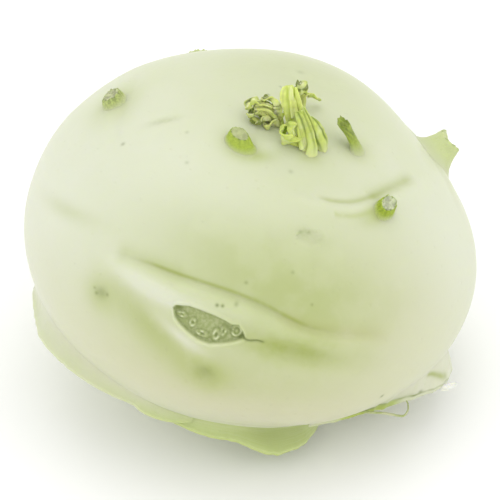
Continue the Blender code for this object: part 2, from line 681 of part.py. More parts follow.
# Levels are height, half-widths east and north, and lean east and north; the rim is extra height of the
# cut's edge at turns round the stub from east.
STUBS = [
    ("stub_crown_right", Spot(20.6, -18),
     [(0.0, 3.0, 2.5, 0.0, 0.0), (0.5, 2.1, 1.8, 0.0, 0.3), (1.6, 1.7, 1.5, -0.1, 1.8),
      (3.1, 1.75, 1.5, -0.25, 4.4), (4.7, 2.3, 1.8, -0.4, 6.8)],
     [(-180, -0.3), (-90, 0.3), (0, -0.2), (90, 0.3), (180, -0.3)]),
    ("stub_crown_left", Spot(18.4, -127),
     [(0.0, 5.8, 3.4, -0.2, 0.2), (0.5, 4.1, 2.5, -0.8, 0.5), (1.2, 3.2, 2.1, -1.3, 0.9),
      (2.0, 2.6, 1.5, -1.8, 1.5)],
     [(-180, 0.0), (-90, -0.6), (0, -0.3), (90, 0.6), (180, 0.0)]),
    ("stub_upper_left", Spot(47.2, 167),
     [(0.0, 4.8, 3.9, 0.0, 0.0), (0.2, 3.7, 3.0, 0.0, 0.1), (0.9, 3.1, 2.5, 0.0, 0.1),
      (1.7, 2.6, 2.2, 0.0, 0.2)],
     [(-180, 0.2), (-90, -0.3), (0, 0.1), (90, 0.3), (180, 0.2)]),
    ("stub_right_shoulder", Spot(37.2, -39.4),
     [(0.0, 4.6, 3.3, 0.0, 0.0), (0.2, 3.7, 2.7, -0.1, 0.2), (1.0, 2.9, 2.2, -0.1, 0.6),
      (2.2, 2.5, 1.9, 0.0, 0.9)],
     [(-180, -0.2), (-90, -0.3), (0, 0.2), (90, 0.3), (180, -0.2)]),
    ("stub_right_rim", Spot(59.2, 26),
     [(0.0, 8.6, 7.4, 0.0, 0.0), (0.4, 7.0, 6.2, 0.1, 0.1), (1.6, 5.1, 4.5, 0.25, 0.5),
      (3.4, 4.1, 3.2, 0.4, 1.0), (5.5, 3.9, 2.6, 0.4, 1.5)],
     [(-180, 0.9), (-135, 0.2), (-90, -0.5), (-45, 0.3), (0, 1.1), (45, 0.3), (90, -0.5), (135, 0.2),
      (180, 0.9)]),
    ("stub_back", Spot(63, 110),
     [(0.0, 4.4, 3.6, 0.0, 0.0), (0.3, 3.3, 2.6, 0.0, 0.1), (0.8, 2.3, 1.9, 0.1, 0.2)],
     [(-180, 0.0), (180, 0.0)]),
]

FIBRE_KEYS = [
    (33.6, -34.9, -19.2, 0.4, 0.4), (35.4, -34.8, -19.0, 0.4, 0.4), (37.4, -34.4, -18.7, 0.4, 0.4),
    (39.3, -34.2, -18.4, 0.4, 0.4), (40.9, -34.4, -18.1, 0.4, 0.4), (42.4, -34.3, -17.7, 0.4, 0.4),
    (43.5, -32.6, -17.3, 0.4, 0.4), (44.1, -31.0, -17.2, 0.4, 0.4),
]


def build_kohlrabi():
    for leftover in bpy.data.objects[:]:
        bpy.data.objects.remove(leftover)
    skin = build_bulb()
    finish_object("leaf_base_left", leaf_base_shape(skin, LEFT_BASE, 0.7), BASE_GREEN)
    finish_object("leaf_base_front", leaf_base_shape(skin, FRONT_BASE, 1.0), BASE_GREEN)
    fuse("leaf_base_right", [
        leaf_base_shape(skin, RIGHT_BASE, 0.0),
        blade_shape(TORN_STRIP, 6, (0.0, 0.6, 0.8), 3, 0.8, 1.5, 0.1, 0.1, 1, 0.0),
    ], BASE_GREEN, "MANIFOLD")
    finish_object("leaf_base_back", leaf_base_shape(skin, BACK_BASE, 0.5), BASE_GREEN)
    for stub in STUBS:
        build_stub(skin, *stub)
    build_heart(skin)
    finish_object("fibre", shoot_shape(FIBRE_KEYS, 20, (0, 0, 1)), FIBRE_TAN)


build_kohlrabi()
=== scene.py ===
"""The looks of a trimmed green kohlrabi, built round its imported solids.

Every solid is replaced by a finer piece in the same place.  The bulb's skin is an icosphere that is cut
finer where it has detail and then drawn out to the bulb's shape.  The cut stubs are circles extruded up
and seated on that skin.  The leaf bases, heart leaves and shoots are grids, wrapped into tubes or bent
into blades.

Lengths are in millimetres and angles in degrees up to the functions, which work in radians; MM turns
lengths to metres as each mesh is placed.  The bulb has its own frame: its middle is the origin and +Z is
its growth axis.  A place on the skin is a polar angle from the crown and an azimuth round the axis.
"""

from math import acos, atan2, cos, exp, hypot, pi, radians, sin

import bpy
from mathutils import Euler, Matrix, Vector, noise


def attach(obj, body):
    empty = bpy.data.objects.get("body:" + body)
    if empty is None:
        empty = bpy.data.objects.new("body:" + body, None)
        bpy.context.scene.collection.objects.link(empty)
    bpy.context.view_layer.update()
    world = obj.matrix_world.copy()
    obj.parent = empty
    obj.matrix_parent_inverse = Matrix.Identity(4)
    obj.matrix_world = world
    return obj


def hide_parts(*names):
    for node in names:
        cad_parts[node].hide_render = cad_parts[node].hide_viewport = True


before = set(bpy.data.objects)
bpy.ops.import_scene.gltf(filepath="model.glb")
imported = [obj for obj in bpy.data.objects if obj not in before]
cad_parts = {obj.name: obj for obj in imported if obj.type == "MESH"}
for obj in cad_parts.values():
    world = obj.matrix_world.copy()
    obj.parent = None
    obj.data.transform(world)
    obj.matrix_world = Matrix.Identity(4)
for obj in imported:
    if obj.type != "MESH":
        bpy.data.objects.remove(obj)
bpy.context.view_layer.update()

MM = 0.001

# The bulb, as its solid has it
BULB_RADIUS = 55.0
BULB_HALF_HEIGHT = 39.3
CENTRE_HEIGHT = 37.5        # of the bulb's middle over the face that it rests on
LEAN = 13.0                 # of the growth axis, towards +X
NECK_RADIUS = 15.0
NECK_SWELL = 2.4
NECK_SHARES = (0.7, 1.6)    # of its radius, between which the swell runs out
SWELL_HEIGHT = 0.45
SWELL_LENGTH = 21.0
BULB_TO_WORLD = (
    Matrix.Scale(MM, 4)
    @ Matrix.Translation((0, 0, CENTRE_HEIGHT))
    @ Euler((0, radians(LEAN), 0)).to_matrix().to_4x4()
)

# A leaf cushion's cross-section: a groove with a lip under it and a shallow valley over it
GROOVE_WIDTH = 1.3
LIP_DISTANCE = 3.4
LIP_WIDTH = 2.6
VALLEY_WIDTH = 9.0

# The camera, far off with a long lens
CAMERA_RISE = 37.4
CAMERA_DISTANCE = 1.6
CAMERA_LENS = 477.0
CAMERA_AIM = (0.34, -2.29)  # how far right of and over the bulb's middle it looks


def smooth_step(low, high, value):
    share = min(max((value - low) / (high - low), 0.0), 1.0)
    return share * share * (3 - 2 * share)


def hill(value, width):
    return exp(-((value / width) ** 2))


def smooth_path(keys, share):
    """A point of the smooth curve through the keys, at a share from 0 to 1 along them."""
    place = share * (len(keys) - 1)
    index = min(int(place), len(keys) - 2)
    part = place - index
    before = keys[max(index - 1, 0)]
    start, end = keys[index], keys[index + 1]
    after = keys[min(index + 2, len(keys) - 1)]
    return [
        s + 0.5 * part * (e - b + part * (2 * b - 5 * s + 4 * e - a + part * (3 * (s - e) + a - b)))
        for b, s, e, a in zip(before, start, end, after)
    ]


def level_at(keys, across):
    """The second number of the keys where the first is across, on straight lines between them."""
    if across <= keys[0][0]:
        return keys[0][1]
    for (x0, y0), (x1, y1) in zip(keys, keys[1:]):
        if across <= x1:
            return y0 + (y1 - y0) * (across - x0) / (x1 - x0)
    return keys[-1][1]


# ---------------------------------------------------------------- places on the bulb

class Place:
    """A place on the bulb's skin."""

    __slots__ = ("polar", "azimuth", "sine")

    def __init__(self, polar, azimuth):
        self.polar, self.azimuth, self.sine = polar, azimuth, sin(polar)


class Spot:
    """A place on the bulb, which measures how far east and north of it another place lies."""

    def __init__(self, polar, azimuth):
        self.polar = radians(polar)
        self.azimuth = radians(azimuth)
        self.sine = sin(self.polar)
        self.north_scale = hypot(BULB_RADIUS * cos(self.polar), BULB_HALF_HEIGHT * sin(self.polar))

    def offsets(self, place):
        turn = (place.azimuth - self.azimuth + pi) % (2 * pi) - pi
        east = turn * BULB_RADIUS * (place.sine + self.sine) / 2
        return east, (self.polar - place.polar) * self.north_scale

    def place(self, east, north):
        """The place that lies so far east and north of this spot."""
        polar = self.polar - north / self.north_scale
        turn = east / (BULB_RADIUS * (sin(polar) + self.sine) / 2)
        return Place(polar, self.azimuth + turn)


class Cushion(Spot):
    """The wide foot of a leaf: a crease that arches over the spot, with a swollen lip under it.

    line gives the crease's height north of the spot at places east of it.
    """

    def __init__(self, polar, azimuth, line, groove, lip, valley):
        super().__init__(polar, azimuth)
        self.line = line
        self.groove, self.lip, self.valley = groove, lip, valley

    def relief(self, place):
        east, north = self.offsets(place)
        along = east / (self.line[-1][0] if east > 0 else self.line[0][0])
        if along >= 1:
            return 0.0
        over = north - level_at(self.line, east)
        height = self.lip * hill(over + LIP_DISTANCE, LIP_WIDTH)
        height -= self.groove * hill(over, GROOVE_WIDTH)
        height -= self.valley * hill(over, VALLEY_WIDTH if over > 0 else GROOVE_WIDTH)
        return height * (1 - along ** 2)


def arch(left, right, rise, drops):
    """The line of a crease that is so high over its spot and comes down so far at its two ends."""
    shares = (1.0, 0.75, 0.5, 0.25)
    west = [(-left * share, rise - drops[0] * share ** 2) for share in shares]
    east = [(right * share, rise - drops[1] * share ** 2) for share in reversed(shares)]
    return west + [(0.0, rise)] + east


class Scar(Spot):
    """The sunken lens that an old leaf left; its east end lies lower by slope."""

    def __init__(self, polar, azimuth, half_length, half_width, depth, slope=0.0):
        super().__init__(polar, azimuth)
        self.half_length, self.half_width = half_length, half_width
        self.depth, self.slope = depth, slope

    def share_across(self, place):
        east, north = self.offsets(place)
        along = abs(east) / self.half_length
        if along >= 1:
            return 9.0
        return abs(north + self.slope * east) / (self.half_width * (1 - along ** 2) ** 0.7 + 0.01)

    def relief(self, place):
        return -self.depth * (1 - smooth_step(0.65, 1.15, self.share_across(place)))


class Mound(Spot):
    """A soft round rise, or a hollow where the height is negative."""

    def __init__(self, polar, azimuth, east_width, north_width, height, slope=0.0):
        super().__init__(polar, azimuth)
        self.widths = (east_width, north_width)
        self.height, self.slope = height, slope

    def relief(self, place):
        east, north = self.offsets(place)
        north += self.slope * east
        spread = (east / self.widths[0]) ** 2 + (north / self.widths[1]) ** 2
        return self.height * exp(-spread) if spread < 9 else 0.0


class Tint(Mound):
    """A soft patch of one of the skin's marks.  A strength below nothing takes the mark off."""

    def __init__(self, mark, polar, azimuth, east_width, north_width, strength, slope=0.0):
        super().__init__(polar, azimuth, east_width, north_width, strength, slope)
        self.mark = mark


class Line(Spot):
    """A fine furrow along keys of east and north from its spot, which fades out at both ends."""

    def __init__(self, polar, azimuth, keys, width, depth, marks):
        super().__init__(polar, azimuth)
        steps = 6 * (len(keys) - 1)
        self.points = [smooth_path(keys, step / steps) for step in range(steps + 1)]
        self.width, self.depth, self.marks = width, depth, marks
        easts, norths = zip(*self.points)
        self.box = (min(easts), max(easts), min(norths), max(norths))

    def nearest(self, place, reach):
        """How far from the furrow a place is, and how far along it, or None where it is out of reach."""
        east, north = self.offsets(place)
        west_end, east_end, south_end, north_end = self.box
        if not (west_end - reach < east < east_end + reach):
            return None
        if not (south_end - reach < north < north_end + reach):
            return None
        best = (reach, 0.0)
        for index, ((x0, y0), (x1, y1)) in enumerate(zip(self.points, self.points[1:])):
            run, climb = x1 - x0, y1 - y0
            part = ((east - x0) * run + (north - y0) * climb) / (run * run + climb * climb)
            part = min(max(part, 0.0), 1.0)
            gap = hypot(east - x0 - part * run, north - y0 - part * climb)
            if gap < best[0]:
                best = (gap, (index + part) / (len(self.points) - 1))
        return best if best[0] < reach else None

    def strength(self, place):
        found = self.nearest(place, 3 * self.width)
        if not found:
            return 0.0
        gap, along = found
        return hill(gap, self.width) * smooth_step(0.0, 0.18, along) * (1 - smooth_step(0.8, 1.0, along))

    def relief(self, place):
        return -self.depth * self.strength(place)


class Speck(Spot):
    """A small brown fleck or pit."""

    def __init__(self, polar, azimuth, radius, strength):
        super().__init__(polar, azimuth)
        self.radius, self.strength = radius, strength

    def closeness(self, place):
        if abs(place.polar - self.polar) > 0.05:
            return 0.0
        east, north = self.offsets(place)
        spread = (east * east + north * north) / self.radius ** 2
        return exp(-spread) if spread < 9 else 0.0


class LeafScar(Spot):
    """The big scar under the front cushion: a sunken cut face with the leaf's strands standing in it."""

    TOP = [(-8.9, 1.2), (-8.4, 2.0), (-7.3, 2.4), (-5.2, 3.1), (-2.5, 3.2), (1.2, 3.0), (3.9, 2.5),
           (5.5, 2.0), (7.2, 2.4), (8.6, 1.1), (9.7, -0.5)]
    BOTTOM = [(-8.9, 1.2), (-7.8, -0.8), (-6.0, -2.0), (-3.8, -3.0), (-1.0, -3.9), (1.8, -4.0), (4.3, -3.1),
              (7.1, -1.9), (9.7, -0.5)]
    DEPTH = 0.85
    # east, north, ring half-widths east and north
    STRANDS = [(-6.5, 0.3, 0.75, 0.45), (-3.4, -0.6, 0.55, 0.75), (-0.4, -2.4, 1.0, 0.5),
               (2.8, -1.6, 0.6, 1.0), (4.2, -0.3, 0.45, 0.8), (7.2, 0.7, 1.0, 1.2)]
    # east, north, width and strength of the dark pits in the face
    PITS = [(-7.5, 1.6, 1.0, 0.75), (5.9, 0.6, 0.7, 0.6), (8.4, -0.4, 0.9, 0.75)]
    STUMP = (7.3, 0.6)          # east and north of the strand that stands up highest

    def inside(self, east, north):
        if not self.TOP[0][0] < east < self.TOP[-1][0]:
            return -3.0
        return min(level_at(self.TOP, east) - north, north - level_at(self.BOTTOM, east))

    def relief(self, place):
        east, north = self.offsets(place)
        inside = self.inside(east, north)
        if inside < -2.0:
            return 0.0
        height = -self.DEPTH * smooth_step(-0.35, 0.65, inside)
        height += 0.20 * hill(inside + 0.7, 0.45)
        for strand in self.STRANDS:
            gap, _ = self.strand_gap(strand, east, north)
            height += 0.30 * hill(gap, 0.28)
        return height + 0.7 * hill(hypot(east - self.STUMP[0], north - self.STUMP[1]), 1.1)

    @staticmethod
    def strand_gap(strand, east, north):
        """How far a place is from a strand's ring, and its turn round the ring from -180 to 180."""
        x, y, wide, deep = strand
        radius = hypot((east - x) / wide, (north - y) / deep)
        return (radius - 1) * min(wide, deep), atan2(north - y, east - x) * 180 / pi

    def marks(self, place):
        east, north = self.offsets(place)
        inside = self.inside(east, north)
        if inside < -2.0:
            return {}
        face = smooth_step(-0.15, 0.2, inside)
        edge = 0.5 + 0.5 * noise.noise((east * 0.7, north * 0.7, 2.0))
        # Pale rings on the raised rim and strands are partly painted highlight; the dark beside them partly
        # painted shade.
        ring = 0.75 * edge * hill(inside + 0.4, 0.25)
        dark = 0.25 * hill(inside - 0.2, 0.25)
        for strand in self.STRANDS:
            gap, turn = self.strand_gap(strand, east, north)
            broken = smooth_step(-0.3, 0.3, noise.noise((strand[0] + turn / 70, strand[1], 5.0)))
            ring = max(ring, face * broken * hill(gap, 0.22))
            dark = max(dark, 0.6 * face * hill(gap + 0.45, 0.3), 0.35 * face * hill(gap - 0.5, 0.25))
        for x, y, width, strength in self.PITS:
            dark = max(dark, strength * face * hill(hypot(east - x, north - y), width))
        return {"scar": face, "ring": ring, "dark": dark}


FRONT_LINE = [
    (-32.0, 3.6), (-28.8, 5.0), (-25.9, 5.9), (-23.3, 6.5), (-18.9, 7.3), (-15.3, 7.8), (-10.1, 8.35),
    (-3.65, 8.85), (3.0, 8.9), (9.5, 8.2), (14.7, 7.0), (19.9, 5.2), (24.8, 3.8), (31.5, 2.8),
    (36.6, 2.0), (41.6, 1.2), (48.0, -0.6),
]
SHOULDER_LINE = [
    (-28.0, 10.6), (-17.2, 8.9), (-14.8, 7.8), (-12.2, 7.0), (-9.5, 6.3), (-6.5, 5.85), (-3.0, 5.5),
    (0.6, 5.0), (5.1, 4.5), (9.3, 3.4), (14.0, 1.9), (18.7, -0.1), (24.0, -3.0),
]

CUSHIONS = [
    Cushion(73.3, -104, FRONT_LINE, groove=0.55, lip=1.3, valley=1.0),
    Cushion(86, 119, arch(40, 34, 7.2, (8.0, 4.5)), groove=0.8, lip=1.8, valley=1.2),
    Cushion(38.2, -37.8, SHOULDER_LINE, groove=0.25, lip=0.7, valley=0.4),
    Cushion(47.2, 166, arch(15, 24, 3.6, (4.0, 5.0)), groove=0.12, lip=0.5, valley=0.3),
    Cushion(59.5, 28, arch(26, 26, 6.2, (5.0, 5.0)), groove=0.15, lip=0.4, valley=0.2),
    Cushion(63, 110, arch(22, 22, 4.0, (4.0, 4.0)), groove=0.6, lip=1.0, valley=0.6),
    Cushion(128, -73, arch(24, 20, 4.0, (3.0, 3.0)), groove=0.3, lip=0.5, valley=0.0),
]

# polar angle, azimuth, half-widths east and north, height and slope
MOUNDS = [Mound(*numbers) for numbers in [
    (0, 0, 17, 17, -0.8),                   # flattened crown
    (46, 76, 24, 16, 1.7),                  # full shoulder at the back right
    (60, 172, 16, 13, -0.7),
    (62, -75, 22, 7.5, -0.9, 0.10),         # flank over the big cushion
    (76.2, -79, 10.5, 2.6, -1.7, 0.12),     # groove that runs on from the big scar
    (82.0, -118, 10.5, 4.2, -1.3, 0.35),    # hollow under its other end
    (91.0, -101, 3.4, 3.0, -1.5),           # bud eye below the scar
    (81.0, -133, 3.0, 2.6, -1.0),           # bud eye left of it
    (80.0, -133, 7.0, 6.0, 0.6),
    (69.5, -157, 11, 3.0, -0.5, -0.42),     # shallow hollow on the left shoulder
    (44, 44, 20, 12, 1.2),                  # shoulder over the right rim's stub
    (80, -6, 16, 14, 0.9),
    (86, 168, 16, 10, -0.9),
    (102, -62, 22, 10, 0.7),
    (98, 160, 18, 9, 0.4),
    (130, -72, 32, 12, -1.9),               # underside over the front leaf base
    (119, -45, 15, 8, -1.7),                # and under the right one
    (56, 40, 20, 17, -2.2),                 # lower skin behind the right rim's stub
    (40.5, -77, 4.0, 2.6, -0.35),
    (31.7, -172, 1.1, 3.8, -0.35),          # dent that an old leaf left
]]

# polar angle, azimuth, half-length, half-width, depth and slope
OLD_SCARS = [
    Scar(86, 119, 12.0, 3.4, 1.6, -0.04),
    Scar(128, 149.5, 9.0, 2.6, 1.0),
    Scar(133, 12, 8.5, 2.4, 0.9),
    Scar(139, -125.5, 7.0, 2.2, 0.8),
    Scar(143, 97, 6.5, 2.0, 0.8),
    Scar(40.2, -77, 3.6, 2.0, 0.35),
]
FACED_SCARS = 5             # how many of them, from the first, still show their face
BIG_SCAR = LeafScar(73.3, -104)

# polar angle and azimuth of its spot, its keys, half-width, depth and how strong its marks are
LINES = [
    # the front crease: its soft start, its sharp middle, whose dark line is partly painted shade, and its
    # pale end
    Line(73.3, -104, FRONT_LINE[1:8], 2.2, 0.05, {"green": 0.32}),
    Line(73.3, -104, FRONT_LINE[3:14], 0.45, 0.22, {"line": 0.60}),
    Line(73.3, -104, FRONT_LINE[10:], 1.8, 0.05, {"cream": 0.75, "line": 0.14}),
    # the hair crack at the big scar's right end
    Line(73.3, -104, [(9.0, -0.5), (10.5, -0.9), (12.6, -0.6), (14.6, -0.9)], 0.30, 0.25, {"dark": 0.7}),
    # the creases over the right shoulder's stub, their dark lines partly painted shade
    Line(38.2, -37.8, SHOULDER_LINE[1:9], 0.7, 0.12, {"line": 0.40}),
    Line(38.2, -37.8, SHOULDER_LINE[6:12], 1.5, 0.05, {"green": 0.50}),
    Line(38.2, -37.8, [(-15.5, 3.9), (-14.4, 3.5), (-10.5, 2.5), (-6.7, 2.4), (-3.0, 2.6)],
         0.8, 0.06, {"line": 0.30}),
    # the creases at the back, their dark lines partly painted shade
    Line(86, 119, CUSHIONS[1].line, 0.55, 0.35, {"line": 0.7}),
    Line(63, 110, CUSHIONS[5].line, 0.5, 0.25, {"line": 0.5}),
    # the fold in the right leaf base: green flesh, darkened along the fold with painted shade
    Line(106, -27,
         [(-3.8, 1.5), (-2.4, 1.2), (-1.0, 0.8), (0.4, 0.1), (1.8, -0.5), (3.2, -1.1), (4.4, -1.4)],
         0.75, 0.0, {"green": 0.75, "dark": 0.10}),
]

# By mark: polar angle, azimuth, half-widths east and north, strength and slope
TINTS = [Tint(mark, *numbers) for mark, rows in {
    "green": [
        (57, -87, 32, 13, 0.52),  # flesh shows through over the front crease; here and in the next tint also partly painted shade of the hollow flank
        (63, -72, 20, 7, 0.30, 0.15),
        (76.2, -81, 15, 3.2, 1.0, 0.15),  # painted shade in the groove right of the scar, over green flesh
        # the last tint on the next line is partly painted shade in the hollow under the cushion's other end
        (74, -76, 14, 9, 0.16), (47, -100, 20, 8, 0.20), (82, -118, 13, 4.5, 0.52, 0.35),
        (91, -101, 5.5, 4.5, 0.75), (81, -133, 5.0, 4.5, 0.48), (87, -95, 30, 9, 0.38),
        (69.5, -157, 10, 2.2, 0.28, -0.42), (12, -90, 15, 12, 0.30), (25, 80, 22, 14, 0.30),
        (20.6, -18, 4.0, 3.0, 0.45), (18.4, -127, 5.0, 3.2, 0.80),
        (19.6, -116, 4.5, 2.0, 0.60, -0.35),  # tail of the crown's left stub
        (36.9, -42.6, 3.6, 2.3, 0.85), (37.3, -46.6, 4.2, 1.8, 0.45), (15.5, -64.5, 2.8, 2.8, 0.60),
        (47.2, 168, 7.0, 5.0, 0.55), (63, 110, 6.0, 5.0, 0.6), (60.5, 27, 8.0, 6.0, 0.6),
        (70.5, -100, 28, 4.5, 0.10),  # lip over the scar
        # the first two take the green off where light is painted round the big scar
        (69.5, -120, 12, 2.6, -0.50), (81.0, -108.5, 7, 1.7, -0.60, 0.26), (66.3, -101, 13, 2.2, -0.35),
    ],
    "cream": [
        # the first darkens the lower front to beige, partly painted shade on the downturned skin
        (104, -88, 60, 17, 0.90), (70, -50, 22, 16, 0.45),
    ],
    "white": [
        (75, -165, 30, 22, 0.70), (60, -20, 18, 22, 0.60), (40, -140, 26, 16, 0.40),
        (85, -92, 10, 6, 0.35),
        (14, -105, 13, 7, 0.60),  # painted light against the heart leaves' shadow round their foot, over a whitish bloom
        (69.5, -120, 12, 2.6, 0.65),  # bright lip over the scar's left: painted highlight where it faces the light
        (81.0, -108.5, 7, 1.7, 0.75, 0.26),  # and painted light under it
        (112, -28, 14, 10, 0.80),  # painted light on the right leaf base's pale foot, against the shade under the bulge
        (62, -42, 16, 12, 0.35), (110, -160, 14, 12, 0.50),
    ],
    "dark": [
        (91, -101, 2.2, 1.9, 0.22), (80.6, -133.4, 1.6, 1.4, 0.35),
    ],
    "scar": [
        (39.0, -79.3, 2.1, 1.3, 0.38), (41.6, -73.4, 2.8, 1.6, 0.20), (31.7, -172, 1.0, 3.8, 0.36),
    ],
}.items() for numbers in rows]

# polar angle, azimuth, radius and strength
SPECKS = [Speck(*numbers) for numbers in [
    (44.3, -166.6, 0.55, 0.45), (26.9, -158.4, 0.50, 0.25), (32.3, -140.6, 0.50, 0.25),
    (65.3, -102.9, 0.42, 0.75), (65.0, -101.5, 0.38, 0.75), (63.6, -98.1, 0.50, 0.40),
    (56.9, -96.9, 0.45, 0.40), (51.1, -83.2, 0.45, 0.30), (60.9, -76.4, 0.40, 0.30),
    (98.9, -51.8, 0.50, 0.75), (104.7, -37.4, 0.50, 0.55), (106.3, -37.9, 0.45, 0.45),
    (111.4, -30.8, 0.55, 0.60), (20.8, -84.8, 0.60, 0.25), (80.0, -131.6, 0.45, 0.45),
    (82.0, -134.6, 0.40, 0.45), (80.6, -135.6, 0.35, 0.35), (38.9, -80.9, 0.45, 0.25),
    (39.0, -77.2, 0.45, 0.25), (9.0, 118, 0.40, 0.45), (13.0, 94, 0.40, 0.40),
    (24.0, 78.5, 1.00, 0.22),
]]

RELIEF = CUSHIONS + MOUNDS + OLD_SCARS + LINES + [BIG_SCAR]


def globe_point(place):
    across = BULB_RADIUS * place.sine
    up = BULB_HALF_HEIGHT * cos(place.polar)
    return Vector((across * cos(place.azimuth), across * sin(place.azimuth), up))


def globe_normal(place):
    across = place.sine / BULB_RADIUS
    up = cos(place.polar) / BULB_HALF_HEIGHT
    return Vector((across * cos(place.azimuth), across * sin(place.azimuth), up)).normalized()


def skin_point(place):
    """Where the skin is, in the bulb's frame."""
    point = globe_point(place)
    height = SWELL_HEIGHT * noise.noise(point / SWELL_LENGTH)
    height += sum(feature.relief(place) for feature in RELIEF)
    neck_share = BULB_RADIUS * place.sine / NECK_RADIUS
    if place.polar > pi / 2 and neck_share < NECK_SHARES[1]:
        height += NECK_SWELL * (1 - smooth_step(*NECK_SHARES, neck_share))
    return point + globe_normal(place) * height


def skin_marks(place):
    """How strongly each of the skin's marks shows at a place."""
    marks = dict.fromkeys(("green", "cream", "white", "line", "scar", "ring", "dark"), 0.0)

    def add(name, strength):
        marks[name] = 1 - (1 - marks[name]) * (1 - strength)

    for tint in TINTS:
        add(tint.mark, tint.relief(place))
    for line in LINES:
        strength = line.strength(place)
        for name, share in line.marks.items():
            add(name, share * strength)
    for speck in SPECKS:
        add("dark", speck.strength * speck.closeness(place))
    for scar in OLD_SCARS[:FACED_SCARS]:
        add("scar", 0.8 * (1 - smooth_step(0.8, 1.0, scar.share_across(place))))
    for name, strength in BIG_SCAR.marks(place).items():
        add(name, strength)
    return marks


def place_toward(unit):
    """The place in the direction that a unit vector has on a globe drawn out to a ball."""
    return Place(acos(max(-1.0, min(1.0, unit.z))), atan2(unit.y, unit.x))


def place_under(point):
    """The place on the skin under a point of the bulb's frame."""
    drawn = Vector((point.x / BULB_RADIUS, point.y / BULB_RADIUS, point.z / BULB_HALF_HEIGHT))
    return place_toward(drawn.normalized())


# ---------------------------------------------------------------- modelling steps

def deselect_all():
    if bpy.context.object and bpy.context.object.mode != "OBJECT":
        bpy.ops.object.mode_set(mode="OBJECT")
    bpy.ops.object.select_all(action="DESELECT")


def work_on(piece):
    deselect_all()
    piece.select_set(True)
    bpy.context.view_layer.objects.active = piece


def name_piece(name):
    piece = bpy.context.object
    piece.name = name
    piece.data.name = name
    return piece


def edit(piece, *steps, whole=True):
    """Runs edit-mode steps on the whole piece, or on what is selected of it."""
    work_on(piece)
    bpy.ops.object.mode_set(mode="EDIT")
    if whole:
        bpy.ops.mesh.select_all(action="SELECT")
    for step in steps:
        step()
    bpy.ops.object.mode_set(mode="OBJECT")


def tidy_mesh(piece):
    """Merges doubled corners, closes open ends and turns the faces outwards."""
    edit(
        piece,
        lambda: bpy.ops.mesh.remove_doubles(threshold=0.002 * MM),
        lambda: bpy.ops.mesh.fill_holes(sides=0),
        lambda: bpy.ops.mesh.normals_make_consistent(inside=False),
    )


def apply_modifier(piece, kind, **settings):
    work_on(piece)
    modifier = piece.modifiers.new(kind.lower(), kind)
    for name, value in settings.items():
        setattr(modifier, name, value)
    bpy.ops.object.modifier_apply(modifier=modifier.name)


def subdivide_smoothly(piece, levels=1):
    apply_modifier(piece, "SUBSURF", levels=levels, render_levels=levels)


def select_faces(piece, chosen):
    """Selects the faces that a test of the face chooses, and no others."""
    mesh = piece.data
    for edge in mesh.edges:
        edge.select = False
    for vert in mesh.vertices:
        vert.select = False
    for face in mesh.polygons:
        face.select = chosen(face)


def wrap_grid(name, columns, rows, point_at):
    """A grid with each corner where point_at(column share, row share) says, in the bulb's frame."""
    deselect_all()
    bpy.ops.mesh.primitive_grid_add(x_subdivisions=columns, y_subdivisions=rows, size=MM)
    piece = name_piece(name)
    for index, vert in enumerate(piece.data.vertices):
        row, column = divmod(index, columns + 1)
        vert.co = BULB_TO_WORLD @ Vector(point_at(column / columns, row / rows))
    return piece


def mark_points(piece, **marks):
    """Keeps numbers for each corner, by their marks' names, for the piece's material to read."""
    for name, strengths in marks.items():
        attribute = piece.data.attributes.get(name) or piece.data.attributes.new(name, "FLOAT", "POINT")
        attribute.data.foreach_set("value", strengths)


def mark_skin(piece):
    """Keeps the skin's marks for each corner of a piece that the skin runs over."""
    world_to_bulb = BULB_TO_WORLD.inverted()
    found = [skin_marks(place_under(world_to_bulb @ vert.co)) for vert in piece.data.vertices]
    mark_points(piece, **{name: [marks[name] for marks in found] for name in found[0]})


def dress(piece, node, material):
    """Gives a finished piece its material and its part in the model."""
    piece.data.materials.clear()
    piece.data.materials.append(material)
    work_on(piece)
    bpy.ops.object.shade_smooth()
    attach(piece, "root")
    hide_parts(node)


def dress_all(node, material, pieces):
    for piece in pieces:
        dress(piece, node, material)


# ---------------------------------------------------------------- materials

class Nodes:
    """A node tree, and short ways to put nodes in it."""

    def __init__(self, tree):
        self.tree = tree

    def node(self, kind, **settings):
        node = self.tree.nodes.new(kind)
        for name, value in settings.items():
            setattr(node, name, value)
        return node

    def put(self, value, socket):
        """Gives a socket a value, or what another node puts out."""
        if isinstance(value, bpy.types.NodeSocket):
            self.tree.links.new(value, socket)
        elif socket.type == "RGBA":
            socket.default_value = (*value, 1.0)
        else:
            socket.default_value = value

    def fill(self, node, **values):
        """Fills a node's sockets by their names, with _ for a space."""
        for name, value in values.items():
            self.put(value, node.inputs[name.replace("_", " ")])
        return node

    def blend(self, share, first, second):
        mix = self.node("ShaderNodeMix", data_type="RGBA")
        for index, value in ((0, share), (6, first), (7, second)):
            self.put(value, mix.inputs[index])
        return mix.outputs[2]

    def sum(self, operation, *values, clamp=True):
        node = self.node("ShaderNodeMath", operation=operation, use_clamp=clamp)
        for value, socket in zip(values, node.inputs):
            self.put(value, socket)
        return node.outputs[0]

    def ramp(self, value, low, high, to_low=0.0, to_high=1.0):
        node = self.node("ShaderNodeMapRange", interpolation_type="SMOOTHSTEP")
        self.fill(node, Value=value, From_Min=low, From_Max=high, To_Min=to_low, To_Max=to_high)
        return node.outputs["Result"]


